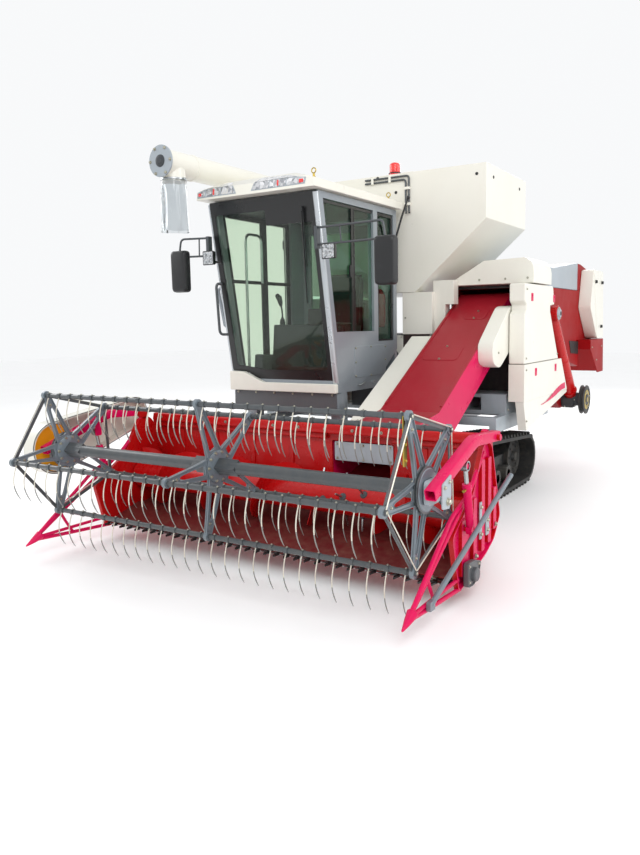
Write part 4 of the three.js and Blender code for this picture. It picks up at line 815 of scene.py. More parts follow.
def tapered(x, along, out, shrink):
    """A block whose top is drawn in along its run, as a moulded lug is: the foot is wide and the crown
    narrow."""
    foot = np.array([(x[0], along[0]), (x[1], along[0]), (x[1], along[1]), (x[0], along[1])], float)
    crown = foot + np.array([(0.004, shrink), (-0.004, shrink), (-0.004, -shrink), (0.004, -shrink)])
    return net(np.stack([lift(foot, out[0], "z"), lift(crown, out[1], "z")]), round_v=True, caps=True)


tell("track loop")

# %% [markdown]
# ### Belts
# The belt itself is a closed ring, and lugs, bridges and guide teeth are one small block each, carried to
# their places. One belt is made for each side from the same values.
# %% Belts
for name, mid in TRACK_SIDES.items():
    half = TRACK_WIDE / 2
    carcass = ring_plate(belt_line(BELT_THICK)[0], belt_line(0)[0], mid - half, mid + half)
    long_lug = joined(*[tapered((mid + s * half * 0.98, mid + s * 0.03)
        if s < 0 else (mid + 0.03, mid + half * 0.98), (-0.02 + 0.01 * s, 0.02 + 0.01 * s),
        (-0.002, LUG_HIGH), 0.008) for s in (-1, 1)])
    bridge = tapered((mid - 0.05, mid + 0.05), (-0.012, 0.012), (-0.002, LUG_HIGH * 0.55), 0.004)
    tooth = tapered((mid - 0.028, mid + 0.028), (-0.018, 0.018), (0.0, -0.034), 0.006)
    build(name + "_rubber", [carcass, on_belt(long_lug, LUG_COUNT, BELT_THICK),
        on_belt(bridge, LUG_COUNT, BELT_THICK), on_belt(tooth, LUG_COUNT, 0.001)], rubber,
        slot="track_rubber", stands_for=name, bevel=0.003)


tell("belts")

# %% [markdown]
# ### Wheels of the track
# The toothed drive wheel sits high at the front, the big idler low at the back, and small rollers carry the
# weight between them. Each is a turned profile with a ring of bolts and a hub cap, drawn on both faces.
# %% Wheels
ROLLER_LINE = [(y, 0.1388) for y in np.linspace(-0.6, 0.56, 5)]


def wheel(mid, centre, radius, half, dish, bolt_ring, count):
    """A dished wheel turned about x with bolts on a ring and a cap at its hub, on both faces."""
    y, z = centre
    face = [(-half - 0.02, 0.03), (-half - 0.02, 0.042), (-half + dish, 0.055), (-half + dish, radius - 0.03),
        (-half, radius - 0.022), (-half, radius - 0.004), (half, radius - 0.004), (half, radius - 0.022),
        (half - dish, radius - 0.03), (half - dish, 0.055), (half + 0.02, 0.042), (half + 0.02, 0.03)]
    ring = circle(centre, bolt_ring, count)
    heads = [bolts(lift(ring, mid + s * (half - dish), "x"), 0.018, "x", s) for s in (-1, 1)]
    return joined(turned(face, (mid, y, z), "x", 40), *heads)


for name, mid in TRACK_SIDES.items():
    small = [wheel(mid + s * 0.085, spot, 0.077, 0.045, 0.01, 0.046, 6) for spot in ROLLER_LINE
        for s in (-1, 1)]
    idler = [wheel(mid + s * 0.075, WHEELS[2], 0.186, 0.03, 0.014, 0.115, 8) for s in (-1, 1)]
    drive = wheel(mid, WHEELS[0], 0.176, 0.046, 0.02, 0.1, 10)
    teeth = circle(WHEELS[0], 0.16, 14)
    knobs = copies(turned([(-0.03, 0.018), (0.03, 0.018)], (0, 0, 0), "x", 10), lift(teeth, mid, "x"))
    build(name + "_wheels", small + idler + [drive, knobs], dark_steel, slot="dark_steel", bevel=0.002)
print("tracks done")

# %% [markdown]
# ## Header: pan, back wall and side plates
# The header is a shallow trough of folded sheet. Its pan follows the auger closely and then runs out flat to
# the knife, so it is one outline carried across the machine. The back wall has a notch where crop goes into
# the feeder, and a box-shaped lip along its top. Each side plate is a thin sheet with its rim folded out and
# upright ribs pressed into it, which is what keeps real sheet metal from waving.
# %% Trough
HEADER_HALF, SIDE_IN, WALL = 1.425, 1.395, 0.012
AUGER = {"y": -1.99, "z": 0.42, "r": 0.205, "drum": 0.1, "pitch": 0.45}
PAN_RADIUS, BACK_Y, KNIFE_Y = 0.221, -1.769, -2.3
MOUTH_X, MOUTH_TOP = (0.24, 0.69), 0.76

pan_arc = circle((AUGER["y"], AUGER["z"]), PAN_RADIUS, 22, math.radians(255), math.radians(105))
pan_under = circle((AUGER["y"], AUGER["z"]), PAN_RADIUS + WALL, 22, math.radians(360), math.radians(-105))
pan_outline = np.vstack([[(KNIFE_Y, 0.13)], pan_arc, [(BACK_Y, 0.5), (BACK_Y + WALL, 0.5)],
    pan_under, [(KNIFE_Y, 0.118)]])
back_outline = [(-SIDE_IN, 0.492), (MOUTH_X[0], 0.492), (MOUTH_X[0], MOUTH_TOP), (MOUTH_X[1], MOUTH_TOP),
    (MOUTH_X[1], 0.492), (SIDE_IN, 0.492), (SIDE_IN, 0.878), (-SIDE_IN, 0.878)]
lip_outline = rounded([(-1.829, 0.812), (-1.759, 0.812), (-1.759, 0.88), (-1.829, 0.88)], 0.014, 3)
step_outline = rounded([(-1.8, 0.772), (-1.766, 0.772), (-1.766, 0.814), (-1.8, 0.814)], 0.01, 3)
keel_outline = rounded([(-1.758, 0.3), (-1.699, 0.3), (-1.699, 0.36), (-1.758, 0.36)], 0.008, 3)
gusset = plate([(-1.85, 0.835), (-1.8, 0.6), (BACK_Y, 0.56), (BACK_Y, 0.878), (-1.84, 0.878)],
    SIDE_IN - 0.006, SIDE_IN - 0.001)
build("header_trough", [
    mirrored(gusset),
    plate(pan_outline, -SIDE_IN, SIDE_IN), plate(back_outline, BACK_Y, BACK_Y + WALL, "y"),
    plate(lip_outline, -SIDE_IN, SIDE_IN), plate(step_outline, -SIDE_IN, MOUTH_X[0] - 0.03),
    plate(step_outline, MOUTH_X[1] + 0.03, SIDE_IN), plate(keel_outline, -SIDE_IN, SIDE_IN)],
    header_red, "header", "red_paint", bevel=0.003)
repaint("header_trough", pan_red, lambda normals, middles: (normals[:, 2] > 0.1) & (middles[:, 2] < 0.3))
rib_spots = [(x, BACK_Y - 0.004, 0.63) for x in (-1.15, -0.8, -0.45, -0.1, 0.95, 1.2)]
build("header_back_ribs",
    [copies(plate(rectangle((-0.016, 0.016), (-0.125, 0.125), 0.01), -0.008, 0.006, "y"), rib_spots)],
    header_red, "header", "red_paint", bevel=0.003)
lip_bolts = [(x, -1.829, 0.846) for x in np.linspace(-1.32, 1.32, 13)]
build("header_lip_bolts", [bolts(lip_bolts, 0.016, "y", -1)], plated, "header")
tell("trough")

# %% [markdown]
# ### Side plates of the header
# A plate closes each end of the trough. It is cut from sheet and its rim is folded out, which keeps it stiff
# where it meets the crop. The rim is the ring between the outline and the same outline at a small inset.
# %% Side plates
SIDE_LINE = rounded([(-1.9, 0.862), (-1.845, 0.825), (-1.7, 0.37), (-1.805, 0.24), (-1.93, 0.186),
    (-2.35, 0.074), (-2.44, 0.41), (-2.15, 0.59), (-1.99, 0.85)], 0.035, 4)


def inset(outline, by):
    """Each corner moved inwards along the mean of its two edges' normals, by a width measured square to the
    edges."""
    outline = np.asarray(outline, float)
    edges = [outline - np.roll(outline, 1, 0), np.roll(outline, -1, 0) - outline]
    normals = [np.stack([-e[:, 1], e[:, 0]], -1) / (np.linalg.norm(e, axis=1)[:, None] + 1e-12)
        for e in edges]
    mean = normals[0] + normals[1]
    mean /= np.linalg.norm(mean, axis=1)[:, None]
    stretch = np.maximum((mean * normals[0]).sum(1), 0.35)[:, None]
    area = np.sum(outline[:, 0] * np.roll(outline[:, 1], -1) - np.roll(outline[:, 0], -1) * outline[:, 1])
    return outline + np.sign(area) * mean * by / stretch


def rib(y, z_low, z_high, width=0.05, lean=0.0):
    """An upright pressed rib on a side plate."""
    line = [(y - width / 2, z_low), (y + width / 2, z_low), (y + width / 2 + lean, z_high),
        (y - width / 2 + lean, z_high)]
    return plate(rounded(line, 0.012, 3), SIDE_IN + 0.004, HEADER_HALF - 0.002)


left_side = joined(plate(SIDE_LINE, SIDE_IN, SIDE_IN + 0.006),
    ring_plate(SIDE_LINE, inset(SIDE_LINE, 0.01), SIDE_IN + 0.004, HEADER_HALF), rib(-1.79, 0.3, 0.56),
    rib(-1.88, 0.24, 0.76), rib(-1.985, 0.215, 0.76), rib(-2.11, 0.19, 0.56), rib(-2.26, 0.15, 0.47, 0.09),
    turned([(SIDE_IN, 0.044), (HEADER_HALF, 0.044)], (0, -1.935, 0.887), "x"),
    turned([(HEADER_HALF - 0.002, 0.015), (1.472, 0.015)], (0, -2.27, 0.42), "x", 20),
    turned([(1.397, 0.0195), (1.508, 0.0195)], (0, -1.935, 0.889), "x", 24))
build("header_side_plates", [mirrored(left_side)], rose, "header", "pink_paint", stands_for="header_frame",
    bevel=0.002)
# Faces that look forward (normal y below -0.5) take the red as painted shade on the pink; the plates' inner
# faces take the red as well.
repaint("header_side_plates", header_red, lambda normals, middles: (normals[:, 1] < -0.5) | (
    (normals[:, 0] * middles[:, 0] < -0.5) & (np.abs(middles[:, 0]) < 1.42)))

tensioners = joined(
    plate(rectangle((-2.055, -2.02), (0.3, 0.52), 0.006), HEADER_HALF - 0.002, HEADER_HALF + 0.004),
    plate(rectangle((-1.955, -1.905), (0.3, 0.42), 0.008), HEADER_HALF - 0.002, HEADER_HALF + 0.005))
side_bolts = [(HEADER_HALF + 0.003, y, z) for y, z in ((-2.037, 0.33), (-2.037, 0.49), (-1.93, 0.33),
    (-1.93, 0.39), (-2.26, 0.19), (-2.26, 0.43), (-2.11, 0.22), (-1.79, 0.33))]
build("header_tensioners", [mirrored(tensioners)], pale_grey, "header", bevel=0.001)
build("header_side_bolts", [mirrored(bolts(side_bolts, 0.02, "x"))], plated, "header")
tell("side plates")

# %% [markdown]
# ### Crop dividers
# Round bars run together into a solid point that parts the crop. Bars that bend are tubes along a path with
# rounded corners; the point is a short turned cone.
# %% Dividers and crop rod
DIVIDER_X = 1.413


def bar_path(points, x=DIVIDER_X):
    """A divider's bar: (y, z) points at one x, with bent corners."""
    return bent([(x, y, z) for y, z in points], 0.06)


left_divider = joined(tube(bar_path([(-2.945, 0.142), (-2.16, 0.62), (-1.965, 0.8)]), 0.0125, 14),
    tube(bar_path([(-2.93, 0.152), (-2.43, 0.52), (-2.3, 0.56), (-2.18, 0.6)]), 0.0125, 14),
    tube(bar_path([(-2.945, 0.136), (-2.64, 0.112), (-2.33, 0.09)]), 0.0125, 14),
    tube(bar_path([(-2.9, 0.148), (-2.6, 0.15), (-2.345, 0.15)]), 0.011, 14),
    tube(bar_path([(-2.64, 0.118), (-2.7, 0.215), (-2.735, 0.29)]), 0.01, 12),
    tube([(DIVIDER_X, y, z) for y, z in ((-3.012, 0.108), (-3.005, 0.11), (-2.95, 0.134), (-2.9, 0.158),
        (-2.895, 0.16))], [0.002, 0.006, 0.02, 0.03, 0.026], 16))
build("header_dividers", [mirrored(left_divider)], rose, "header", "pink_paint", bevel=0.0)
build("crop_rod_bar", [tube([(1.437, -2.742, 0.149), (1.438, -2.74, 0.15), (1.574, -1.942, 0.678),
    (1.575, -1.94, 0.68)], [0.009, 0.0145, 0.0145, 0.009], 20),
    plate(rectangle((-2.77, -2.712), (0.122, 0.172), 0.008), 1.425, 1.449)], reel_grey, "header",
    "grey_paint", stands_for="crop_rod", bevel=0.001)


tell("dividers and crop rod")

# %% [markdown]
# ### Knife
# Cast guards stand at one pitch along a bar, and the knife's triangles slide between them. One guard and one
# triangle are drawn and carried to every place.
# %% Knife
GUARD_PITCH = 2 * 1.3947 / 36
guard_spots = [(-1.3947 + GUARD_PITCH * (i + 0.5), 0, 0) for i in range(36)]
guard_line = [(-0.013, -2.338), (0.013, -2.338), (0.011, -2.365), (0.0035, -2.404), (-0.0035, -2.404),
    (-0.011, -2.365)]
guard_top = [(-0.013, -2.338), (0.013, -2.338), (0.011, -2.352), (0.004, -2.376), (-0.004, -2.376),
    (-0.011, -2.352)]
guard = joined(plate(guard_line, 0.1075, 0.122, "z"), plate(guard_top, 0.121, 0.1295, "z"))
build("knife_guards", [plate(rectangle((-1.3947, 1.3947), (-2.3395, -2.3003)), 0.104, 0.127, "z"),
    copies(guard, guard_spots)], trim_black, "header", "dark_steel", stands_for="cutter_bar", bevel=0.0015)
blade = plate([(-0.034, -2.336), (0.034, -2.336), (0.006, -2.384), (-0.006, -2.384)], 0.1225, 0.1255, "z")
build("knife_blades", [copies(blade, [(-1.3947 + GUARD_PITCH * (i + 1), 0, 0) for i in range(35)])],
    bare_steel, "header")
hold_downs = [(x, -2.318, 0.127) for x in np.linspace(-1.25, 1.25, 9)]
build("knife_hold_downs",
    [copies(block((-0.03, 0.03), (-0.016, 0.016), (0, 0.006)), hold_downs),
        bolts([(x, y, z + 0.004) for x, y, z in hold_downs], 0.012, "z")], plated, "header")

cover_line = rounded([(-2.304, 0.096), (-2.302, 0.236), (-2.2, 0.228), (-2.112, 0.2), (-2.136, 0.14),
    (-2.22, 0.088)], 0.02, 5)
cover_lip = inset(cover_line, 0.008)
gear_boss = turned([(1.43, 0.04), (1.476, 0.04), (1.482, 0.034), (1.482, 0.012)], (0, -2.215, 0.15), "x", 32)
build("knife_cover_shell",
    [plate(cover_line, 1.43, 1.456), ring_plate(cover_line, cover_lip, 1.454, 1.462), gear_boss], nose_grey,
    "header", "grey_paint", stands_for="knife_drive_cover", bevel=0.003)
build("knife_cover_bolts",
    [bolts([(1.456, y, z) for y, z in ((-2.28, 0.12), (-2.28, 0.21), (-2.14, 0.19), (-2.2, 0.104))], 0.013,
        "x")], plated, "header")


tell("knife")

# %% [markdown]
# ### Feeder throat and its cover
# A pale plate closes the upper half of the notch, and the slats of the feeder chain show below it. The chain
# sits inside the feeder housing, which keeps the mouth as dark as it should be.
# %% Throat
SLOPE, FEED_PIVOT = math.radians(30), (0.42, 1.585)


def on_feeder(s, t):
    """(y, z) of a point s down the feeder from its pivot and t above its middle line."""
    return (FEED_PIVOT[0] - s * math.cos(SLOPE) - t * math.sin(SLOPE),
        FEED_PIVOT[1] - s * math.sin(SLOPE) + t * math.cos(SLOPE))


build("throat_cover", [plate(rectangle((0.268, 0.72), (0.628, 0.758), 0.012), -1.782, -1.775, "y")],
    pale_grey, "header", "pale_grey_paint", bevel=0.002)
build("throat_cover_bolts",
    [bolts([(x, -1.782, z) for x in (0.29, 0.495, 0.7) for z in (0.645, 0.742)], 0.014, "y", -1)], plated,
    "header")
slat_line = np.array([(-0.03, -0.01), (0.03, -0.01), (0.03, 0.0), (0.004, 0.0), (0.004, 0.028),
    (-0.004, 0.028), (-0.004, 0.0), (-0.03, 0.0)])
slat_turn = np.array([[math.cos(SLOPE), -math.sin(SLOPE)], [math.sin(SLOPE), math.cos(SLOPE)]])
slats = [plate(slat_line @ slat_turn.T + on_feeder(s, -0.085), 0.262, 0.69)
    for s in np.linspace(0.35, 1.6, 6)]
chain = [tube([(x, *on_feeder(0.2, -0.095)), (x, *on_feeder(1.63, -0.095))], 0.01, 8)
    for x in (0.3, 0.4775, 0.655)]
build("feeder_chain", slats + chain, dark_steel, "header", bevel=0.001)
tell("throat")

# %% [markdown]
# ### Feeder top plate
# Two bolted hatches and a stiffening fold lie on the sloping top; they are drawn flat and tipped with the
# feeder's own slope.
# %% Feeder top
def sloped(outline, low, high):
    """An outline in (x, s) lifted from low to high above the feeder's middle line."""
    outline = np.asarray(outline, float)
    rows = [np.column_stack([outline[:, 0], *on_feeder_rows(outline[:, 1], t)]) for t in (low, high)]
    return net(np.stack(rows), round_v=True, caps=True)


def on_feeder_rows(s, t):
    """Points at s down the feeder's slope and t above it: P = pivot - s (cos, sin) - t (sin, -cos)."""
    return (FEED_PIVOT[0] - s * math.cos(SLOPE) - t * math.sin(SLOPE),
        FEED_PIVOT[1] - s * math.sin(SLOPE) + t * math.cos(SLOPE))


HATCHES = [(0.29, 0.6, 0.71, 0.93), (0.42, 0.62, 0.12, 0.27)]
hatches, hatch_bolts = [], []
for x0, x1, s0, s1 in HATCHES:
    hatches.append(sloped(rectangle((x0, x1), (s0, s1), 0.035), 0.144, 0.149))
    hatch_bolts += [(x, *on_feeder(s, 0.149)) for x in ((x0 + x1) / 2,) for s in (s0 + 0.014, s1 - 0.014)]
folds = [sloped(rectangle((x, x + 0.022), (0.02, 1.56), 0.004), 0.143, 0.153) for x in (0.234, 0.7)]
build("feeder_hatches", hatches + folds, dull_red, "header", "red_paint", bevel=0.002)
tip = spin("x", 30)
heads = [moved(bolts([(0, 0, 0)], 0.015, "z"), tip, spot) for spot in hatch_bolts]
build("feeder_hatch_bolts", heads, plated, "header")
tell("feeder top")

# %% [markdown]
# ### Auger
# Its two screws are ribbons: a point goes round the shaft while it moves along it, so its place is
# (x0 + k t, r sin t, r cos t). A cross-section of four corners makes the ribbon a thin closed plate.
# %% Auger
def screw(x0, x1, hand, steps=26):
    """A ribbon of flight from the drum out to the edge, from x0 to x1."""
    turns = abs(x1 - x0) / AUGER["pitch"]
    t = np.linspace(0, 1, int(turns * steps))[:, None]
    angle = hand * 2 * np.pi * turns * t
    radius = np.array([[AUGER["drum"] - 0.004, AUGER["r"], AUGER["r"], AUGER["drum"] - 0.004]])
    across = np.array([[-0.003, -0.002, 0.002, 0.003]])
    points = np.stack([x0 + (x1 - x0) * t + across, AUGER["y"] + radius * np.sin(angle),
        AUGER["z"] + radius * np.cos(angle)], -1)
    return net(points, round_v=True, caps=True)


drum = turned([(-1.383, 0.06), (-1.383, 0.1), (1.383, 0.1), (1.383, 0.06)], (0, AUGER["y"], AUGER["z"]), "x",
    48)
stub = turned([(-1.405, 0.02), (1.405, 0.02)], (0, AUGER["y"], AUGER["z"]), "x", 20)
build("auger_drum", [drum, stub, screw(-1.373, MOUTH_X[0], 1), screw(1.373, MOUTH_X[1], 1)], header_red,
    "auger", "red_paint", stands_for="header_auger", bevel=0.0)
finger_spots = [(x, 0.4 + i * 2.2) for i, x in enumerate(np.linspace(0.27, 0.66, 9))]
fingers, guides = [], []
for x, angle in finger_spots:
    out = np.array([0, math.sin(angle), math.cos(angle)])
    centre = np.array([x, AUGER["y"], AUGER["z"]])
    fingers.append(tube([centre, centre + out * 0.185, centre + out * 0.194], [0.007, 0.007, 0.004], 10))
    guides.append(tube([centre + out * 0.096, centre + out * 0.104, centre + out * 0.11],
        [0.026, 0.024, 0.013], 14))
build("auger_fingers", fingers, bare_steel, "auger")
build("auger_finger_guides", guides, lining, "auger")
print("header done")

# %% [markdown]
# ## Reel
# Three spiders on a centre tube carry five bars of spring tines. Each spoke is an A-shaped plate with a slot,
# so it is a frame between an outer and an inner line, and a raised rim along its edge makes it read as
# pressed channel. Straps join the tips of the outer spiders.
# %% Spiders
REEL = {"y": -2.67, "z": 0.718, "r": 0.418}
ARM_LINE = np.array([(-1.89, 0.8905), (-2.02, 0.8985), (-2.19, 0.909), (-2.23, 0.909), (-2.27, 0.9005),
    (-2.56, 0.801), (-2.79, 0.7215)])
SPIDER_X = (-1.36, 0.0, 1.36)
BAR_ANGLES = [-21 + 72 * i for i in range(5)]


def on_reel(along, across, degrees):
    """(y, z) at a distance along and across a spoke that stands that many degrees from upright."""
    u, v = math.sin(math.radians(degrees)), math.cos(math.radians(degrees))
    along, across = np.asarray(along, float), np.asarray(across, float)
    return np.stack([REEL["y"] + u * along - v * across, REEL["z"] + v * along + u * across], -1)


SPOKE_OUTER = np.array([(0.06, -0.066), (0.19, -0.047), (0.385, -0.027), (0.432, -0.022), (0.445, 0.0),
    (0.432, 0.022), (0.385, 0.027), (0.19, 0.047), (0.06, 0.066), (0.06, 0.0)])
SPOKE_SLOT = np.array([(0.118, -0.03), (0.19, -0.024), (0.3, -0.014), (0.318, -0.01), (0.324, 0.0),
    (0.318, 0.01), (0.3, 0.014), (0.19, 0.024), (0.118, 0.03), (0.112, 0.0)])
bar_places = [tuple(on_reel(REEL["r"], 0, a)) for a in BAR_ANGLES]


def spoke(x, degrees):
    """A pressed spoke: a flat frame with a raised rim outside and round its slot."""
    outer, slot = on_reel(*SPOKE_OUTER.T, degrees), on_reel(*SPOKE_SLOT.T, degrees)
    return joined(ring_plate(outer, slot, x - 0.004, x + 0.004),
        ring_plate(outer, inset(outer, 0.005), x - 0.011, x + 0.011),
        ring_plate(inset(slot, -0.004), slot, x - 0.008, x + 0.008))


def strap(start, end, x, width=0.02, thick=0.005):
    """A flat bar between two (y, z) points."""
    run = np.array(end) - start
    square = np.array([-run[1], run[0]]) / np.linalg.norm(run) * width / 2
    return plate([start - square, end - square, end + square, start + square], x - thick / 2, x + thick / 2)


hub_line = [(-0.017, 0.03), (-0.017, 0.078), (-0.012, 0.098), (0.012, 0.098), (0.017, 0.078), (0.017, 0.03)]
spokes = [spoke(x, a) for x in SPIDER_X for a in BAR_ANGLES]
hubs = [turned(hub_line, (x, REEL["y"], REEL["z"]), "x", 40) for x in SPIDER_X]
boxes = [moved(ring_plate(circle((0, 0), 0.052, 4), circle((0, 0), 0.036, 4), -0.075, 0.075), np.eye(3),
    (x + s, REEL["y"], REEL["z"])) for x, s in ((-1.36, 0.085), (0, -0.09), (0, 0.09), (1.36, -0.085))]
centre_tube = turned([(-1.36, 0.03), (-1.36, 0.038), (1.36, 0.038), (1.36, 0.03)], (0, REEL["y"], REEL["z"]),
    "x", 32)
shaft = turned([(-1.508, 0.0279), (1.448, 0.0279)], (0, REEL["y"], REEL["z"]), "x", 28)
pads = [copies(turned([(-0.012, 0.02), (-0.012, 0.029), (0.012, 0.029), (0.012, 0.02)], (0, 0, 0), "x", 24),
    [(x, y, z) for x in SPIDER_X for y, z in bar_places])]
build("reel_spiders", spokes + hubs + boxes + [centre_tube, shaft] + pads, reel_grey, "reel", "grey_paint",
    stands_for="reel_rotor", bevel=0.001)
repaint("reel_spiders", bar_grey, lambda normals, middles: np.hypot(
    middles[:, 1] - REEL["y"] - DATUM[1], middles[:, 2] - REEL["z"]) < 0.0385)


tell("spiders")

# %% [markdown]
# ### Straps, rods and bolts of the reel
# Flat straps join the spokes' ends into a five-sided ring, and thin rods run just outside them. They keep the
# tine bars at their places, so both are drawn from the same five points as the bars.
# %% Straps and rods
corners = [np.array(p) for p in bar_places]
straps = [strap(corners[i], corners[(i + 1) % 5], x, 0.022, 0.006) for x in (-1.36, 1.36) for i in range(5)]
build("reel_straps", straps, bar_grey, "reel", "grey_paint", bevel=0.001)
rods = [tube([(x, *(corners[i] + (0, 0.012))), (x, *(corners[(i + 1) % 5] + (0, 0.012)))], 0.0035, 8)
    for x in (-1.377, 1.377) for i in range(5)]
build("reel_link_rods", rods, tine_steel, "reel")
hub_bolts = [bolts(lift(circle((REEL["y"], REEL["z"]), 0.086, 10), x + s * 0.013, "x"), 0.016, "x", s)
    for x in SPIDER_X for s in (-1, 1)]
spoke_bolts = [bolts([(x + s * 0.004, *on_reel(0.345, 0, a)) for a in BAR_ANGLES], 0.013, "x", s)
    for x in SPIDER_X for s in (-1, 1)]
tip_bolts = [bolts([(x + s * 0.0125, y, z) for y, z in bar_places], 0.02, "x", s)
    for x, s in ((-1.36, -1), (1.36, 1))]
build("reel_bolts", hub_bolts + spoke_bolts + tip_bolts, plated, "reel")
tell("straps and rods")

# %% [markdown]
# ### Eccentric ring and drive
# At each end a grooved disc steers the tine bars so that the tines stay upright. On the right a belt runs
# over an amber pulley inside its guard.
# %% Discs and pulley
groove = [(0.0, 0.03), (0.0, 0.118), (0.004, 0.122), (0.009, 0.122), (0.011, 0.112), (0.016, 0.112),
    (0.018, 0.122), (0.024, 0.122), (0.026, 0.116), (0.026, 0.03)]
face = [(0.0262, 0.03), (0.0262, 0.112), (0.0295, 0.108), (0.0295, 0.03)]
for name, profile, look in (("reel_end_discs", groove, bar_grey), ("reel_disc_faces", face, reel_grey)):
    build(name, [turned([(s * (1.364 + d), r) for d, r in profile], (0, REEL["y"], REEL["z"]), "x", 56)
        for s in (-1, 1)], look, "reel", "grey_paint")
guard_line = np.vstack([circle((REEL["y"], REEL["z"]), 0.185, 26, math.radians(100), math.radians(190)),
    circle((-1.935, 0.889), 0.12, 20, math.radians(290), math.radians(170))])
guard_posts = [turned([(-1.59, 0.014), (-1.4885, 0.014)],
    (0, y, float(np.interp(-y, -ARM_LINE[:, 0], ARM_LINE[:, 1]))), "x", 16) for y in (-2.48, -2.09)]
build("drive_guard_shell",
    [plate(guard_line, -1.593, -1.588), ring_plate(guard_line, inset(guard_line, 0.006), -1.592, -1.4885),
        ring_plate(guard_line, inset(guard_line, 0.014), -1.491, -1.4885), *guard_posts], cream,
    frame["nodes"]["reel_drive_guard"]["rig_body"], "cream_paint", stands_for="reel_drive_guard",
    bevel=0.0)
pulley = [(-1.5, 0.029), (-1.5, 0.06), (-1.512, 0.066), (-1.512, 0.14), (-1.5, 0.166), (-1.516, 0.15),
    (-1.536, 0.15), (-1.552, 0.166), (-1.54, 0.14), (-1.54, 0.066), (-1.552, 0.06), (-1.552, 0.029)]
build("reel_pulley", [turned(pulley, (0, REEL["y"], REEL["z"]), "x", 56)], amber, "reel")
rim = circle((REEL["y"], REEL["z"]), 0.168, 56), circle((REEL["y"], REEL["z"]), 0.153, 56)
build("reel_belt", [ring_plate(*rim, -1.543, -1.509)],
    belt_rubber, "reel")


tell("discs and pulley")

# %% [markdown]
# ### Tine bars
# The tines are spring wire: they leave the bar downwards, bow forward and end a little behind it. That curve
# is one path, and the same wire is carried along the bar. Each hangs from a clip with a bolt. Every bar turns
# backwards at the reel's own speed, so it is a separate body.
# %% Tines
TINE_X = list(np.linspace(-1.32, 1.32, 26))
fall = np.linspace(0, 1, 13)
wire_path = np.stack([np.zeros(13), -0.008 - 0.034 * np.sin(np.pi * fall * 0.92) + 0.02 * fall**3,
    -0.006 - 0.236 * fall], -1)
wire = tube(wire_path, np.interp(fall, [0, 0.85, 1], [0.0036, 0.0034, 0.0016]), 7)
clip = joined(plate(rounded([(-0.0185, -0.012), (-0.0185, 0.0165), (0.01, 0.0185), (0.0185, 0.006),
    (0.0185, -0.012), (-0.006, -0.0185)], 0.006, 2), -0.011, 0.011))
for i, (y, z) in enumerate(bar_places):
    body, spots = f"tine_bar_{i + 1}", [(x, y, z) for x in TINE_X]
    bar = turned([(-1.382, 0.01), (-1.382, 0.0145), (-1.379, 0.0152), (1.379, 0.0152), (1.382, 0.0145),
        (1.382, 0.01)], (0, y, z), "x", 20)
    build(f"tine_bar_{i + 1}_tube", [bar, copies(clip, spots)], bar_grey, body, "bare_steel", stands_for=body,
        bevel=0.0)
    build(f"tines_{i + 1}", [copies(wire, spots)], tine_steel, body, "bare_steel")
    repaint(f"tines_{i + 1}", worn_tip, lambda normals, middles: middles[:, 2] < z - 0.15)
    build(f"tine_bolts_{i + 1}", [bolts([(x, y, z + 0.0165) for x in TINE_X], 0.01, "z")], plated, body)
top_y, top_z = bar_places[0]
lever = [(top_y - 0.018, top_z - 0.25), (top_y + 0.018, top_z - 0.25), (top_y + 0.02, top_z + 0.004),
    (top_y - 0.02, top_z + 0.004)]
build("tine_bar_crank", [plate(rounded(lever, 0.012, 3), 1.3345, 1.3405),
    bolts([(1.3405, top_y, top_z - d) for d in (0.07, 0.14, 0.22)], 0.014, "x")], zinc, "tine_bar_1",
    bevel=0.001)


tell("tines")

# %% [markdown]
# ### Reel arms and cylinders
# Each arm is square tube, open at its front end. Its section is a square ring, carried from the pivot over a
# bend to the tip; the ring's rows run out along the outside and back along the inside.
# %% Arms


def square_tube(line, x_mid, half, wall):
    """A square ring carried along a (y, z) line: out along the outside and back along the inside."""
    along = np.gradient(line, axis=0)
    along /= np.linalg.norm(along, axis=1)[:, None]
    up = np.stack([along[:, 1], -along[:, 0]], -1) * np.sign(-along[:, :1])
    rows = []
    for size, order in ((half, slice(None)), (half - wall, slice(None, None, -1))):
        section = rounded([(-size, -size), (size, -size), (size, size), (-size, size)], 0.008, 2)
        yz = line[order][:, None] + up[order][:, None] * section[None, :, 1, None]
        x = np.broadcast_to(x_mid + section[None, :, :1], yz.shape[:2] + (1,))
        rows.append(np.concatenate([x, yz], -1))
    return net(np.vstack(rows), round_u=True, round_v=True)


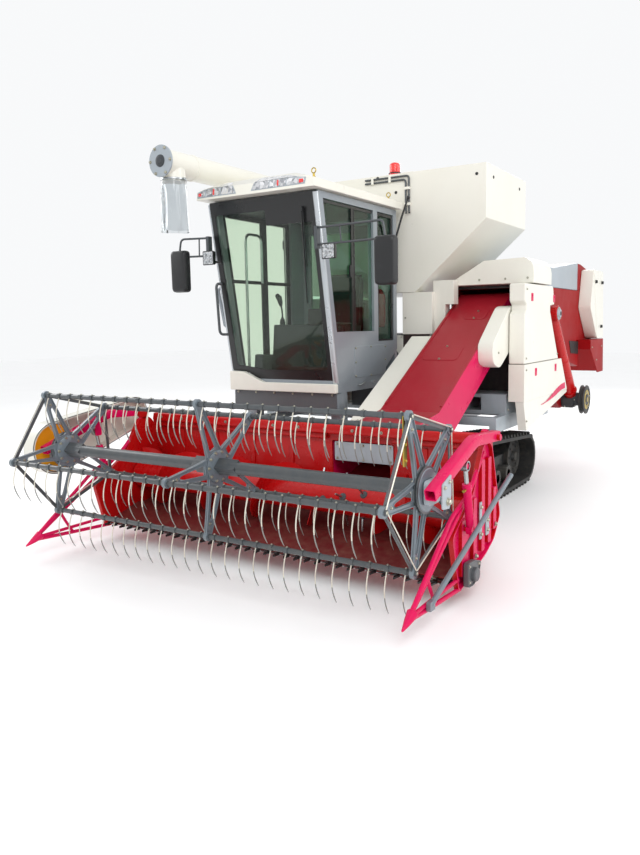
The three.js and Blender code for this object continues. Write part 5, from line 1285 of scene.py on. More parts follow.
for side, s in (("left", 1), ("right", -1)):
    arm = square_tube(ARM_LINE, s * 1.458, 0.03, 0.005)
    head_pin = turned([(s * 1.43, 0.015), (s * 1.472, 0.015)], (0, -2.35, 0.79), "x", 20)
    head_lug = plate(rounded([(-2.378, 0.765), (-2.322, 0.765), (-2.322, 0.88), (-2.378, 0.862)], 0.012, 3),
        s * 1.4285, s * 1.4345)
    build(f"reel_arm_{side}_tube", [arm, head_pin, head_lug], rose, "reel_frame", "pink_paint",
        stands_for=f"reel_arm_{side}", bevel=0.0)
    bearing = ring_plate(rectangle((-2.74, -2.6), (0.65, 0.776), 0.03, 6),
        circle((REEL["y"], REEL["z"]), 0.0292, 28, math.radians(225)), s * 1.3985, s * 1.4275)
    clamp = plate(rounded([(-2.725, 0.64), (-2.64, 0.628), (-2.618, 0.69), (-2.618, 0.8), (-2.725, 0.765)],
        0.01, 3), s * 1.4885, s * 1.4955)
    build(f"reel_bearing_{side}", [bearing, clamp], pale_grey, "reel_frame", "pink_paint", bevel=0.002)
    build(f"reel_clamp_bolts_{side}",
        [bolts([(s * 1.4955, -2.662, 0.668)], 0.03, "x", s),
            bolts([(s * 1.4955, -2.645, 0.765), (s * 1.4955, -2.7, 0.745)], 0.016, "x", s)], plated,
        "reel_frame")


tell("arms")

# %% [markdown]
# ### Hydraulic cylinders
# A cylinder is a smooth barrel with a collar, and a bright hard-chromed rod with an eye. Both halves are
# turned about one slanting line, and each is a body of its own, so the rod slides out as the arm rises.
# %% Cylinders
def ram(foot, head, x, barrel_length, barrel, rod):
    """A barrel with a collar, and a rod, both turned about one slanting line; the eyes are not made here."""
    foot, head = np.array(foot), np.array(head)
    run = (head - foot) / np.linalg.norm(head - foot)
    at = lambda s: (x, *(foot + run * s))
    body = tube([at(s) for s in (0.022, 0.03, 0.031, barrel_length - 0.03, barrel_length - 0.029,
        barrel_length - 0.001, barrel_length)],
        [barrel - 0.003, barrel - 0.002, barrel, barrel, barrel + 0.002, barrel + 0.002, barrel - 0.004], 28)
    stem = tube([at(s) for s in (0.062, np.linalg.norm(head - foot) - 0.024)], rod, 24)
    return body, stem, at


for side, s in (("left", 1), ("right", -1)):
    barrel, stem, at = ram((-2.27, 0.42), (-2.35, 0.79), s * 1.458, 0.275, 0.0235, 0.012)
    eye = lambda y, z, hole: ring_plate(circle((y, z), 0.028, 28), circle((y, z), hole, 28), s * 1.44,
        s * 1.476)
    build(f"reel_barrel_{side}_body", [barrel, eye(-2.27, 0.42, 0.016)], rose, f"reel_barrel_{side}",
        "pink_paint", stands_for=f"reel_barrel_{side}")
    build(f"reel_rod_{side}_stem", [stem, eye(-2.35, 0.79, 0.022)], bare_steel, f"reel_rod_{side}",
        "bare_steel", stands_for=f"reel_rod_{side}")
    build(f"reel_port_{side}", [tube([at(0.245), (s * 1.458, -2.372, 0.655)], 0.008, 12)], zinc,
        f"reel_barrel_{side}")
print("reel done")

# %% [markdown]
# ## Cab
# The windscreen leans forward, so its trim is drawn flat in (x, z) and pushed along the screen's own normal.
# A broad dark band is printed round the glass and hides the glue. The bright post beside it is a bent tube.
# %% Screen trim
def screen_y(z):
    """Where the front face of the cab stands at a height."""
    return -1.0 - 0.242 * (np.asarray(z, float) - 1.08) / 1.476


def on_screen(outline, inner, low, high):
    """An (x, z) frame, or a solid plate if inner is None, between two distances out from the screen."""
    lean = 0.242 / 1.476
    out = np.array([0, -1, -lean]) / math.hypot(1, lean)
    face = lambda line, by: np.column_stack([np.array(line)[:, 0], screen_y(np.array(line)[:, 1]),
        np.array(line)[:, 1]]) + out * by
    if inner is None:
        return net(np.stack([face(outline, low), face(outline, high)]), round_v=True, caps=True)
    return net(np.stack([face(outline, low), face(outline, high), face(inner, high), face(inner, low)]),
        round_u=True, round_v=True)


screen_outer = rounded([(-1.252, 1.17), (-1.11, 1.165), (-0.9, 1.08), (-0.196, 1.08), (-0.196, 2.556),
    (-1.252, 2.556)], 0.01, 4)
screen_inner = rounded([(-1.192, 1.212), (-1.1, 1.212), (-0.9, 1.182), (-0.268, 1.182), (-0.262, 2.452),
    (-1.206, 2.452)], 0.03, 4)
build("screen_band", [on_screen(screen_outer, screen_inner, 0.0075, 0.0095)], trim_black,
    slot="black_plastic")
build("screen_header", [on_screen(rectangle((-0.7, -0.262), (2.335, 2.47), 0.01), None, 0.0073, 0.0085)],
    trim_black)
post_z = np.array([1.08, 1.3, 2.3, 2.545])
build("cab_front_posts", [tube(np.column_stack([np.full(4, -0.207), screen_y(post_z) - 0.002, post_z]), 0.023,
    20), tube(np.column_stack([np.full(4, -1.262), screen_y(post_z) + 0.014, post_z]), 0.02, 16)], silver,
    slot="bare_steel")


tell("screen trim")

# %% [markdown]
# ### Left window
# Two sliding panes run in a black channel, a thick post stands behind them, and a quarter light closes the
# corner. All lie just outside the cab's glass, so they are thin frames set on one plane.
# %% Left window and panel
SIDE_X = -0.209
side_frame = lambda outline, width, proud=0.01: ring_plate(outline, inset(outline, width), SIDE_X,
    SIDE_X + proud)
front_line = rounded([(-1.052, 1.408), (-0.372, 1.408), (-0.372, 2.5), (-1.214, 2.5)], 0.02, 4)
quarter_line = rounded([(-0.33, 1.392), (-0.046, 1.392), (-0.046, 2.5), (-0.33, 2.5)], 0.03, 5)
build("side_window_frames",
    [side_frame(front_line, 0.022), side_frame(quarter_line, 0.024, 0.016),
        block((SIDE_X, SIDE_X + 0.012), (-0.745, -0.712), (1.425, 2.485)),
        block((SIDE_X, SIDE_X + 0.009), (-0.7, -0.688), (1.425, 2.485)),
        block((SIDE_X, SIDE_X + 0.022), (-0.372, -0.332), (1.4, 2.52))], trim_black, slot="black_plastic",
    bevel=0.002)
build("side_window_studs",
    [bolts([(SIDE_X + 0.015, y, z) for y, z in ((-0.318, 1.72), (-0.318, 2.3), (-0.058, 1.72), (-0.06, 2.3),
        (-0.352, 1.95))], 0.014, "x"),
        plate(rectangle((-0.775, -0.75), (1.93, 2.03), 0.008), SIDE_X + 0.002, SIDE_X + 0.016)], plastic)
panel_line = rounded([(-0.745, 1.105), (-0.205, 1.105), (-0.205, 1.368), (-0.745, 1.368)], 0.035, 5)
build("cab_side_panel", [plate(panel_line, -0.19, -0.182)], cab_grey, slot="grey_paint", bevel=0.003)
build("cab_panel_bolts", [
    bolts([(-0.181, y, z) for y, z in ((-0.73, 1.352), (-0.475, 1.358), (-0.22, 1.352), (-0.73, 1.235),
        (-0.22, 1.235), (-0.73, 1.12), (-0.475, 1.115), (-0.22, 1.12))], 0.013, "x")], plated)
build("cab_panel_latch", [
    tube(bent([(-0.184, -0.69, 1.045), (-0.165, -0.69, 1.045), (-0.165, -0.6, 1.062), (-0.184, -0.6, 1.062)],
        0.015), 0.0055, 10), turned([(-0.188, 0.016), (-0.174, 0.016), (-0.17, 0.01)], (0, -0.44, 1.05), "x",
            20)], bare_steel)


tell("left window and panel")

# %% [markdown]
# ### Nose, roof rim and lamps
# The cream nose stands above a dark plate. On the roof's front face sit two long lamp clusters, each one a
# polygon laid on the visor's own slope, with a red marker at its outer end and a pale rim behind its lamps.
# The badge's place between them stays bare.
# %% Nose and visor lamps
build("cab_nose_plate", [
    plate(rounded([(-1.244, 0.872), (-1.238, 1.004), (-0.19, 1.004), (-0.186, 0.852), (-1.15, 0.852)], 0.02,
        4), -1.0265, -1.0185, "y")], nose_grey, slot="grey_paint", bevel=0.002)
build("cab_nose_bolts", [bolts([(x, -1.0265, z) for x in np.linspace(-1.2, -0.23, 6) for z in (0.985,)],
    0.014, "y", -1)], plated)


def on_visor(outline, low, high):
    """An (x, z) outline laid on the roof's front face, between two distances out from it."""
    line = np.array(outline, float)
    steep = line[:, 1] < 2.646
    y = np.where(steep, -1.355 + (line[:, 1] - 2.564) * 0.122, -1.345 + (line[:, 1] - 2.646) * 1.818)
    base = np.column_stack([line[:, 0], y, line[:, 1]])
    out = np.where(steep[:, None], [[0, -0.992, 0.122]], [[0, -0.7, 0.7]])
    return net(np.stack([base + out * low, base + out * high]), round_v=True, caps=True)


LAMP_CELLS = {  # each: corners in (x, z), in order round the lamp
    "right_outer": [(-1.272, 2.588), (-1.205, 2.588), (-1.205, 2.6405), (-1.276, 2.622)],
    "right_mid": [(-1.196, 2.588), (-1.045, 2.588), (-1.045, 2.6455), (-1.196, 2.6425)],
    "right_inner": [(-1.036, 2.588), (-0.892, 2.588), (-0.925, 2.6455), (-1.036, 2.6455)],
    "left_inner": [(-0.722, 2.592), (-0.56, 2.592), (-0.56, 2.6455), (-0.7, 2.6455)],
    "left_mid": [(-0.551, 2.592), (-0.4, 2.592), (-0.4, 2.6455), (-0.551, 2.6455)],
    "left_outer": [(-0.391, 2.592), (-0.236, 2.594), (-0.228, 2.632), (-0.391, 2.645)]}
UPPER_CELLS = {
    "right": [(-1.19, 2.6475), (-0.935, 2.6475), (-0.972, 2.688), (-1.04, 2.68)],
    "left": [(-0.705, 2.6475), (-0.3, 2.6475), (-0.4, 2.676), (-0.68, 2.688)]}
lamps = [on_visor(rounded(line, 0.008, 3), 0.0, 0.0045)
    for line in list(LAMP_CELLS.values()) + list(UPPER_CELLS.values())]
build("visor_lamps", lamps, lamp_glass, bevel=0.0015)
rims = [on_visor([(-1.284, 2.582), (-0.88, 2.582), (-0.915, 2.646), (-1.2, 2.646), (-1.284, 2.628)], -0.002,
    0.0018), on_visor([(-0.733, 2.586), (-0.224, 2.588), (-0.216, 2.636), (-0.3, 2.646), (-0.705, 2.646)],
        -0.002, 0.0018)]
build("visor_rims", rims, pale_grey)
build("visor_markers", [on_visor(rectangle((-1.27, -1.242), (2.594, 2.618), 0.004), 0.0046, 0.0075),
    on_visor(rectangle((-1.118, -1.104), (2.594, 2.64), 0.004), 0.0046, 0.0065),
    on_visor(rectangle((-0.48, -0.466), (2.598, 2.64), 0.004), 0.0046, 0.0065),
    on_visor(rectangle((-0.275, -0.238), (2.598, 2.624), 0.004), 0.0046, 0.0075)], red_lens)


tell("nose and visor lamps")

# %% [markdown]
# ### Lifting eyes
# Three forged eyes on the roof let the cab be lifted off. A ring with a small turned foot makes each.
# %% Lifting eyes
def ring(centre, radius, thick, axis="x", around=24, section=10):
    """A plain ring: a circle of small circles, facing along an axis."""
    a = np.linspace(0, 2 * np.pi, around, endpoint=False)[:, None]
    b = np.linspace(0, 2 * np.pi, section, endpoint=False)[None]
    flat = (radius + thick * np.cos(b))
    u, v, w = flat * np.cos(a), flat * np.sin(a), thick * np.sin(b) + 0 * a
    order = {"x": (w, u, v), "y": (u, w, v), "z": (u, v, w)}[axis]
    return net(np.stack(order, -1) + np.array(centre), round_u=True, round_v=True)


eyes = [joined(ring((x, y, z + 0.052), 0.019, 0.0045, "y"),
    turned([(-0.006, 0.016), (0.006, 0.016), (0.007, 0.01), (0.03, 0.008), (0.034, 0.003)], (x, y, z), "z",
        16)) for x, y, z in ((-0.264, -1.172, 2.664), (-0.24, -0.02, 2.64), (-1.195, -0.02, 2.64))]
build("roof_lifting_eyes", eyes, zinc)
tell("lifting eyes")

# %% [markdown]
# ### Wiper, handles and work lamps
# %% Cab fittings
wiper_arm = tube([(-0.336, screen_y(2.428) - 0.03, 2.428), (-0.352, screen_y(2.2) - 0.026, 2.2),
    (-0.367, screen_y(1.945) - 0.02, 1.945)], [0.008, 0.006, 0.005], 10)
wiper_twin = tube([(-0.322, screen_y(2.425) - 0.03, 2.425), (-0.345, screen_y(2.0) - 0.022, 2.0)], 0.004, 8)
wiper_blade = tube([(-0.352, screen_y(2.32) - 0.014, 2.32), (-0.372, screen_y(2.02) - 0.013, 2.02),
    (-0.388, screen_y(1.72) - 0.014, 1.72)], [0.004, 0.0062, 0.004], 8)
wiper_hub = tube([(-0.332, screen_y(2.432) - 0.006, 2.432), (-0.332, screen_y(2.432) - 0.04, 2.4265)],
    [0.02, 0.015], 16)
build("wiper", [wiper_arm, wiper_twin, wiper_blade, wiper_hub], trim_black, slot="black_plastic")
grab = bent([(-1.188, -0.88, 1.165), (-1.186, -0.88, 2.34), (-1.186, -0.66, 2.34), (-1.188, -0.66, 1.925)],
    0.07, 8)
build("door_grab_rail", [tube(grab, 0.0125, 14)], bare_steel, "door", "bare_steel")
build("door_mid_bar", [block((-1.2165, -1.1955), (-1.15, -0.215), (1.914, 1.944))],
    trim_black, "door", "black_plastic", bevel=0.003)
build("door_mid_post", [block((-1.2125, -1.196), (-0.65, -0.565), (1.17, 2.465))],
    trim_black, "door", "black_plastic", bevel=0.003)
build("door_handle", [tube(
    bent([(-1.262, -1.06, 1.56), (-1.29, -1.06, 1.56), (-1.29, -0.96, 1.56), (-1.262, -0.96, 1.56)], 0.02, 6),
    0.008, 12)], trim_black, "door", "black_plastic")
side_handle = bent([(-1.235, -1.15, 1.905), (-1.262, -1.195, 1.905), (-1.262, -1.17, 1.48),
    (-1.225, -1.11, 1.48)], 0.045, 8)
build("cab_front_handle", [tube(side_handle, 0.0115, 14)], bar_grey)
horn_rod = bent([(-0.19, -0.062, 1.95), (-0.16, -0.062, 2.06), (-0.15, -0.06, 2.3), (-0.09, -0.045, 2.5),
    (-0.04, -0.03, 2.645)], 0.05, 6)
build("cab_rear_rod", [tube(horn_rod, 0.009, 12),
    tube([(-0.043, -0.03, 2.632), (-0.04, -0.03, 2.64), (-0.036, -0.03, 2.656), (-0.034, -0.03, 2.664)],
        [0.008, 0.018, 0.018, 0.006], 14)], trim_black)
for side, s, spot in (("right", -1, (-1.245, -1.3, 2.11)), ("left", 1, (-0.075, -1.285, 2.095))):
    x, y, z = spot
    shell = net(np.stack([np.column_stack([rectangle((-h, h), (-h, h), 0.012)[:, 0] + x,
        np.full(len(rectangle((-h, h), (-h, h), 0.012)), y + d),
        rectangle((-h, h), (-h, h), 0.012)[:, 1] + z])
        for d, h in ((0.05, 0.032), (0.032, 0.054), (0.0, 0.058))]), round_v=True, caps=True)
    fins = [block((x - 0.046, x + 0.046), (y + 0.03, y + 0.052), (z + d - 0.002, z + d + 0.002))
        for d in (-0.024, -0.008, 0.008, 0.024)]
    arm = tube([(x, y + 0.035, z - 0.03), (x + (0.07 if s < 0 else -0.08), y + 0.075, z - 0.035)], 0.009, 10)
    build(f"work_lamp_{side}", [shell, *fins, arm], trim_black, slot="black_plastic", bevel=0.001)
    dots = copies(net(np.stack(
        [np.column_stack([circle((0, 0), r, 12)[:, 0], np.full(12, d), circle((0, 0), r, 12)[:, 1]])
            for d, r in ((0.002, 0.0085), (-0.004, 0.0075), (-0.006, 0.003))]), round_v=True, caps=True),
        [(x + a, y, z + b) for a in (-0.032, 0, 0.032) for b in (-0.032, 0, 0.032)])
    build(f"work_lamp_{side}_dots", [dots], silver)
    build(f"work_lamp_{side}_face",
        [plate(rectangle((x - 0.05, x + 0.05), (z - 0.05, z + 0.05), 0.008), y - 0.0015, y + 0.001, "y")],
        led)
print("cab outside done")

# %% [markdown]
# ### Mirrors
# A mirror head is a soft box: its outline is rounded, and the rings grow from a small back to a full front.
# Each stands on two bars joined by a strap and held in a block on the post.
# %% Mirrors
def soft_box(centre, width, height, depth, lean=0.0):
    """Rounded-rectangle rings stacked along y: small at the back, swelling, then closing at the glass."""
    shares = [(0.0, 0.7), (0.06, 0.86), (0.22, 0.96), (0.55, 1.0), (0.85, 1.0), (1.0, 0.97)]
    rows = []
    for along, size in shares:
        w, h = width / 2 * size, height / 2 * (1 - (1 - size) * width / height)
        line = rounded([(-w, -h), (w, -h), (w * 1.02, h), (-w * 1.02, h)], 0.42 * min(w, h), 7)
        rows.append(np.column_stack([line[:, 0] + centre[0] + lean * line[:, 1],
            np.full(len(line), centre[1] + (along - 0.5) * depth), line[:, 1] + centre[2]]))
    return net(np.stack(rows), round_v=True, caps=True)


MIRRORS = {"left": ((0.44, -1.34, 1.995), (-0.186, -1.262), (2.275, 2.15), 1),
    "right": ((-1.522, -1.34, 2.01), (-1.262, -1.262), (2.275, 2.13), -1)}
for side, (centre, (post_x, post_y), bars, s) in MIRRORS.items():
    x, y, z = centre
    head = soft_box((x, y, z), 0.165, 0.345, 0.07)
    bar_rows = [tube(bent([(post_x, post_y, high), (x - s * 0.02, y + 0.01 if k else y + 0.004, high),
        (x, y, z + 0.15)][: 3 if k == 0 else 2], 0.035, 6), 0.0085, 12) for k, high in enumerate(bars)]
    link = tube([(post_x + s * 0.34 * abs(x - post_x), post_y - 0.02, bars[0]),
        (post_x + s * 0.36 * abs(x - post_x), post_y - 0.02, bars[1])], 0.006, 10)
    stay = tube([(x - s * 0.02, y + 0.01, bars[1]), (x, y + 0.004, z + 0.11)], 0.0085, 12)
    grips = [block((post_x - 0.014, post_x + 0.014), (post_y - 0.022, post_y + 0.022),
        (bars[1] - 0.03, bars[0] + 0.012))]
    build(f"mirror_{side}_head", [head], plastic, slot="black_plastic", stands_for=f"mirror_{side}")
    build(f"mirror_{side}_bars", bar_rows + [link, stay] + grips, bar_grey, slot="grey_paint", bevel=0.0)
    glass_line = rectangle((x - 0.062, x + 0.062), (z - 0.15, z + 0.15), 0.028, 6)
    build(f"mirror_{side}_glass", [plate(glass_line, y + 0.031, y + 0.035, "y")], mirror_glass)
print("mirrors done")

# %% [markdown]
# ### Inside the cab
# Through the glass one sees a seat, a console with its lever, a floor with studs and a dark lining under the
# roof. The seat's cushions are foam in cloth: crowned surfaces that bulge most between their seams and are
# drawn in along the piping.
# %% Seat
def cushion(centre, size, crown, tilt=0.0, panels=3):
    """A crowned pad: a closed rounded-rectangle stack whose top swells between seams that run front to
    back."""
    wide, long, thick = size
    sheets = []
    for level, reach, lift_by in ((-0.5, 0.9, 0), (-0.42, 0.985, 0), (0.0, 1.0, 0), (0.34, 0.992, 0),
        (0.5, 0.93, 0.3), (0.5, 0.72, 0.72), (0.5, 0.48, 0.92), (0.5, 0.24, 1.0), (0.5, 0.02, 1.0)):
        line = rounded([(-wide / 2, -long / 2), (wide / 2, -long / 2), (wide / 2, long / 2),
            (-wide / 2, long / 2)], 0.075, 8) * reach
        dense = np.stack([np.interp(np.linspace(0, len(line), 96, endpoint=False), np.arange(len(line) + 1),
            np.append(line[:, k], line[0, k])) for k in (0, 1)], -1)
        seams = np.abs(np.cos(np.pi * panels * (dense[:, 0] / wide + 0.5))) ** 6
        swell = crown * lift_by * (1 - 0.3 * seams)
        sides = 1 - 0.018 * (level == 0.0)
        sheets.append(np.column_stack([dense[:, 0] * sides, dense[:, 1] * sides, level * thick + swell]))
    points = np.stack(sheets)
    turn = spin("x", tilt)
    return net(points @ turn.T + np.array(centre), round_v=True, caps=True)


def piping(centre, size, tilt=0.0):
    """A thin cord sewn round a cushion: a rounded rectangle, tilted about x."""
    wide, long, thick = size
    line = rounded([(-wide / 2, -long / 2), (wide / 2, -long / 2), (wide / 2, long / 2),
        (-wide / 2, long / 2)], 0.075, 8) * 0.975
    turn = spin("x", tilt)
    path = np.column_stack([line, np.full(len(line), thick * 0.46)]) @ turn.T + np.array(centre)
    return tube(np.vstack([path, path[:1]]), 0.0045, 8)


SEAT_X = -0.71
base_pad, back_pad, head_pad = ((0.455, 0.4, 0.095), (0.43, 0.52, 0.085), (0.24, 0.12, 0.07))
build("seat_base_cushion", [cushion((SEAT_X, -0.275, 1.5), base_pad, 0.022)], seat_cloth, slot="seat_cover",
    stands_for="cab_seat")
build("seat_back_cushion", [cushion((SEAT_X, -0.098, 1.745), back_pad, 0.02, 84)], seat_cloth,
    slot="seat_cover")
build("seat_head_cushion", [cushion((SEAT_X, -0.07, 1.948), head_pad, 0.014, 84, 1)], seat_cloth,
    slot="seat_cover")
build("seat_piping", [piping((SEAT_X, -0.275, 1.5), base_pad), piping((SEAT_X, -0.098, 1.745), back_pad, 84)],
    belt_rubber)
build("seat_shell", [plate(rectangle((-0.455, -0.08), (1.425, 1.452), 0.012), SEAT_X - 0.205, SEAT_X + 0.205),
    plate(rounded([(-0.052, 1.44), (-0.04, 1.44), (-0.04, 2.0), (-0.052, 2.0)], 0.004, 3), SEAT_X - 0.195,
        SEAT_X + 0.195), block((SEAT_X - 0.16, SEAT_X + 0.16), (-0.4, -0.12), (1.3, 1.426)),
    plate(rectangle((-0.43, -0.1), (1.1, 1.302), 0.02), SEAT_X - 0.17, SEAT_X + 0.17)], plastic,
    slot="black_plastic", bevel=0.004)
build("seat_bellows", [turned([(z, 0.13 + 0.008 * math.cos(k * math.pi))
    for k, z in enumerate(np.linspace(1.3, 1.43, 11))], (SEAT_X, -0.26, 0), "z", 28)], belt_rubber)
tell("seat")

# %% [markdown]
# ### Controls and lining
# Moulded boxes carry the dials, the levers and the steering stick in front of the seat and beside it. They
# show only through the screen, so each is a rounded outline carried straight, with small turned knobs.
# %% Controls and lining
DASH_TOP = 1.56
console_side = plate(rounded([(-0.896, 1.102), (-0.624, 1.102), (-0.642, 1.428), (-0.878, 1.398)], 0.012, 4),
    -0.398, -0.262)
dash = [plate(rounded([(-0.898, 1.102), (-0.784, 1.102), (-0.802, 1.556), (-0.848, 1.556)], 0.014, 4), -0.93,
    -0.392), plate(rounded([(-0.888, 1.102), (-0.8, 1.102), (-0.806, 1.3), (-0.862, 1.3)], 0.014, 4), -1.136,
        -0.92)]
build("cab_console_boxes", [console_side, *dash], lining, slot="black_plastic", stands_for="cab_console",
    bevel=0.006)
STICK_X = -0.853
stick = tube(bent([(STICK_X, -0.825, DASH_TOP - 0.01), (STICK_X + 0.004, -0.828, 1.66),
    (STICK_X - 0.008, -0.832, 1.73)], 0.05, 4), 0.007, 12)
knob = tube([(STICK_X - 0.007, -0.832, 1.712), (STICK_X - 0.01, -0.833, 1.74),
    (STICK_X - 0.022, -0.836, 1.785), (STICK_X - 0.042, -0.842, 1.808), (STICK_X - 0.05, -0.846, 1.812)],
    [0.011, 0.02, 0.025, 0.019, 0.004], 16)
gaiter = turned([(0, 0.024), (0.01, 0.022), (0.02, 0.026), (0.03, 0.02), (0.04, 0.022), (0.05, 0.013),
    (0.064, 0.009)], (STICK_X, -0.825, DASH_TOP - 0.004), "z", 24)
levers = [tube([(x, y, 1.4), (x, y + 0.01, 1.5), (x, y + 0.012, 1.505), (x, y + 0.016, 1.545)],
    [0.006, 0.006, 0.014, 0.01], 12) for x, y in ((-0.365, -0.82), (-0.3, -0.82), (-0.33, -0.68))]
pod = plate(rounded([(-0.87, 1.545), (-0.78, 1.545), (-0.77, 1.64), (-0.86, 1.69)], 0.02, 4), -0.56, -0.4)
build("cab_controls", [stick, knob, gaiter, *levers, pod], plastic, slot="black_plastic", bevel=0.002)
dial_spots = [(x, y, 1.418) for x, y in ((-0.37, -0.76), (-0.29, -0.76))]
build("console_dials", [turned([(-0.006, 0.026), (0.006, 0.026), (0.008, 0.022), (0.005, 0.02)], spot, "z",
    28) for spot in dial_spots], bar_grey)
build("console_faces", [turned([(-0.004, 0.019), (0.0052, 0.019)], spot, "z", 24) for spot in dial_spots],
    nose_grey)
studs = [(x, y, 1.0) for x in np.linspace(-1.05, -0.36, 8) for y in np.linspace(-0.94, -0.86, 2)]
build("cab_floor_studs", [block((-1.15, -0.3), (-0.99, -0.62), (1.1, 1.106)),
    copies(turned([(0, 0.014), (0.007, 0.011)], (0, 0, 0), "z", 12), [(x, y, 1.105) for x, y, _ in studs])],
    belt_rubber)
build("cab_headliner", [block((-1.215, -0.225), (-1.14, -0.03), (2.5, 2.522)),
    block((-0.69, -0.26), (-1.16, -1.02), (2.36, 2.505)),
    plate(rounded([(-0.62, 2.3), (-0.3, 2.3), (-0.3, 2.44), (-0.62, 2.44)], 0.02, 4), -0.06, -0.03, "y")],
    lining, slot="black_plastic", bevel=0.006)
fire = [tube([(-0.3, -0.1, 1.52), (-0.3, -0.1, 1.56), (-0.3, -0.1, 1.8), (-0.3, -0.1, 1.84),
    (-0.3, -0.1, 1.86)], [0.045, 0.052, 0.052, 0.03, 0.016], 20)]
build("cab_bottle", fire, dull_red)
print("cab inside done")

# %% [markdown]
# ## Unloading tube
# Grain leaves by a tube that swings on its riser. The bend is a circle carried along a path whose corner is
# rounded, so it has no kink. Flanges and clamp bands are turned rings on the same line.
# %% Tube and end
TUBE_X, TUBE_Z, TUBE_R = -1.35, 2.83, 0.1
tube_path = bent([(TUBE_X, 1.39, 2.563), (TUBE_X, 1.39, TUBE_Z), (TUBE_X, -1.67, TUBE_Z)], 0.155, 14)
collars = [turned([(d, TUBE_R - 0.004), (d, TUBE_R + 0.022), (d + 0.008, TUBE_R + 0.022),
    (d + 0.008, TUBE_R - 0.004)], (TUBE_X, 0, TUBE_Z), "y", 40) for d in (0.7, 0.712)]
bands = [turned([(d, TUBE_R - 0.002), (d + 0.003, TUBE_R + 0.005), (d + 0.022, TUBE_R + 0.005),
    (d + 0.025, TUBE_R - 0.002)], (TUBE_X, 0, TUBE_Z), "y", 40) for d in (-1.36, -0.3)]
foot_rings = [turned([(h, 0.09), (h, 0.138), (h + 0.01, 0.138), (h + 0.01, 0.09)], (TUBE_X, 1.39, 0), "z",
    40) for h in (2.562, 2.578)]
spout = turned([(2.688, 0.09), (2.688, 0.097), (2.698, 0.097), (2.8, 0.092), (2.8, 0.08)],
    (TUBE_X, -1.545, 0), "z", 40)
build("unloader_tube_shell", [tube(tube_path, TUBE_R, 40), *collars, *bands, *foot_rings, spout], cream,
    "unloader", "cream_paint", stands_for="unloader_tube")
flange = turned([(-1.6835, 0.04), (-1.6835, 0.119), (-1.68, 0.122), (-1.671, 0.122), (-1.668, 0.119),
    (-1.668, 0.04)], (TUBE_X, 0, TUBE_Z), "y", 40)
boss = turned([(-1.712, 0.008), (-1.712, 0.022), (-1.706, 0.026), (-1.7, 0.046), (-1.686, 0.05),
    (-1.678, 0.05)], (TUBE_X, 0, TUBE_Z), "y", 24)
build("unloader_end_plate", [flange], pale_grey, "unloader", bevel=0.001)
build("unloader_end_boss", [moved(boss, np.eye(3), (0, 0.012, 0))], iron, "unloader")
end_ring = circle((TUBE_X, TUBE_Z), 0.106, 6)
build("unloader_bolts", [bolts([(x, -1.6835, z) for x, z in end_ring], 0.018, "y", -1),
    bolts([(x, 0.7, z) for x, z in circle((TUBE_X, TUBE_Z), 0.112, 8)], 0.014, "y", -1),
    bolts([(x, y, 2.588) for x, y in circle((TUBE_X, 1.39), 0.126, 8)], 0.014, "z")], plated, "unloader")
build("spout_clamp", [turned([(2.6995, 0.0955), (2.6995, 0.1045), (2.712, 0.1045), (2.712, 0.0935)],
    (TUBE_X, -1.545, 0), "z", 40), block((TUBE_X + 0.098, TUBE_X + 0.122), (-1.556, -1.534), (2.699, 2.713))],
    bare_steel, "unloader", bevel=0.001)


tell("tube and end")

# %% [markdown]
# ### Clear sleeve
# Soft film hangs from the spout and guides the falling grain. It is one layer with no thickness of its own.
# Its radius grows a little towards the hem and ripples round the tube: the ripples are held at the clamp and
# grow as the film hangs free, so radius = r0 + k d + a(d) (sin 5t + 0.5 sin 9t), at a distance d below it.
# %% Sleeve
SLEEVE_TOP, SLEEVE_LOW = 2.706, 2.304
drop = np.linspace(0, 1, 34)[:, None]
round_angle = np.linspace(0, 2 * np.pi, 132, endpoint=False)[None]
ripple = 0.0075 * np.minimum(1, drop * 3) * (np.sin(5 * round_angle + 1.5 * drop) + 0.5
    * np.sin(9 * round_angle + 2.1 - 2 * drop))
crease = 0.001 * np.sin(np.pi * 3 * drop + 2 * np.sin(2 * round_angle)) * drop
sleeve_r = 0.0975 + 0.009 * drop + ripple + crease
hem = 0.004 * np.sin(3 * round_angle + 0.6) * drop
sleeve_net = np.stack([TUBE_X + sleeve_r * np.cos(round_angle), -1.545 + sleeve_r * np.sin(round_angle),
    SLEEVE_TOP + (SLEEVE_LOW - SLEEVE_TOP) * drop + hem], -1)
build("sleeve_film", net(sleeve_net, round_v=True), film, "unloader", "clear_film",
    stands_for="discharge_sleeve")

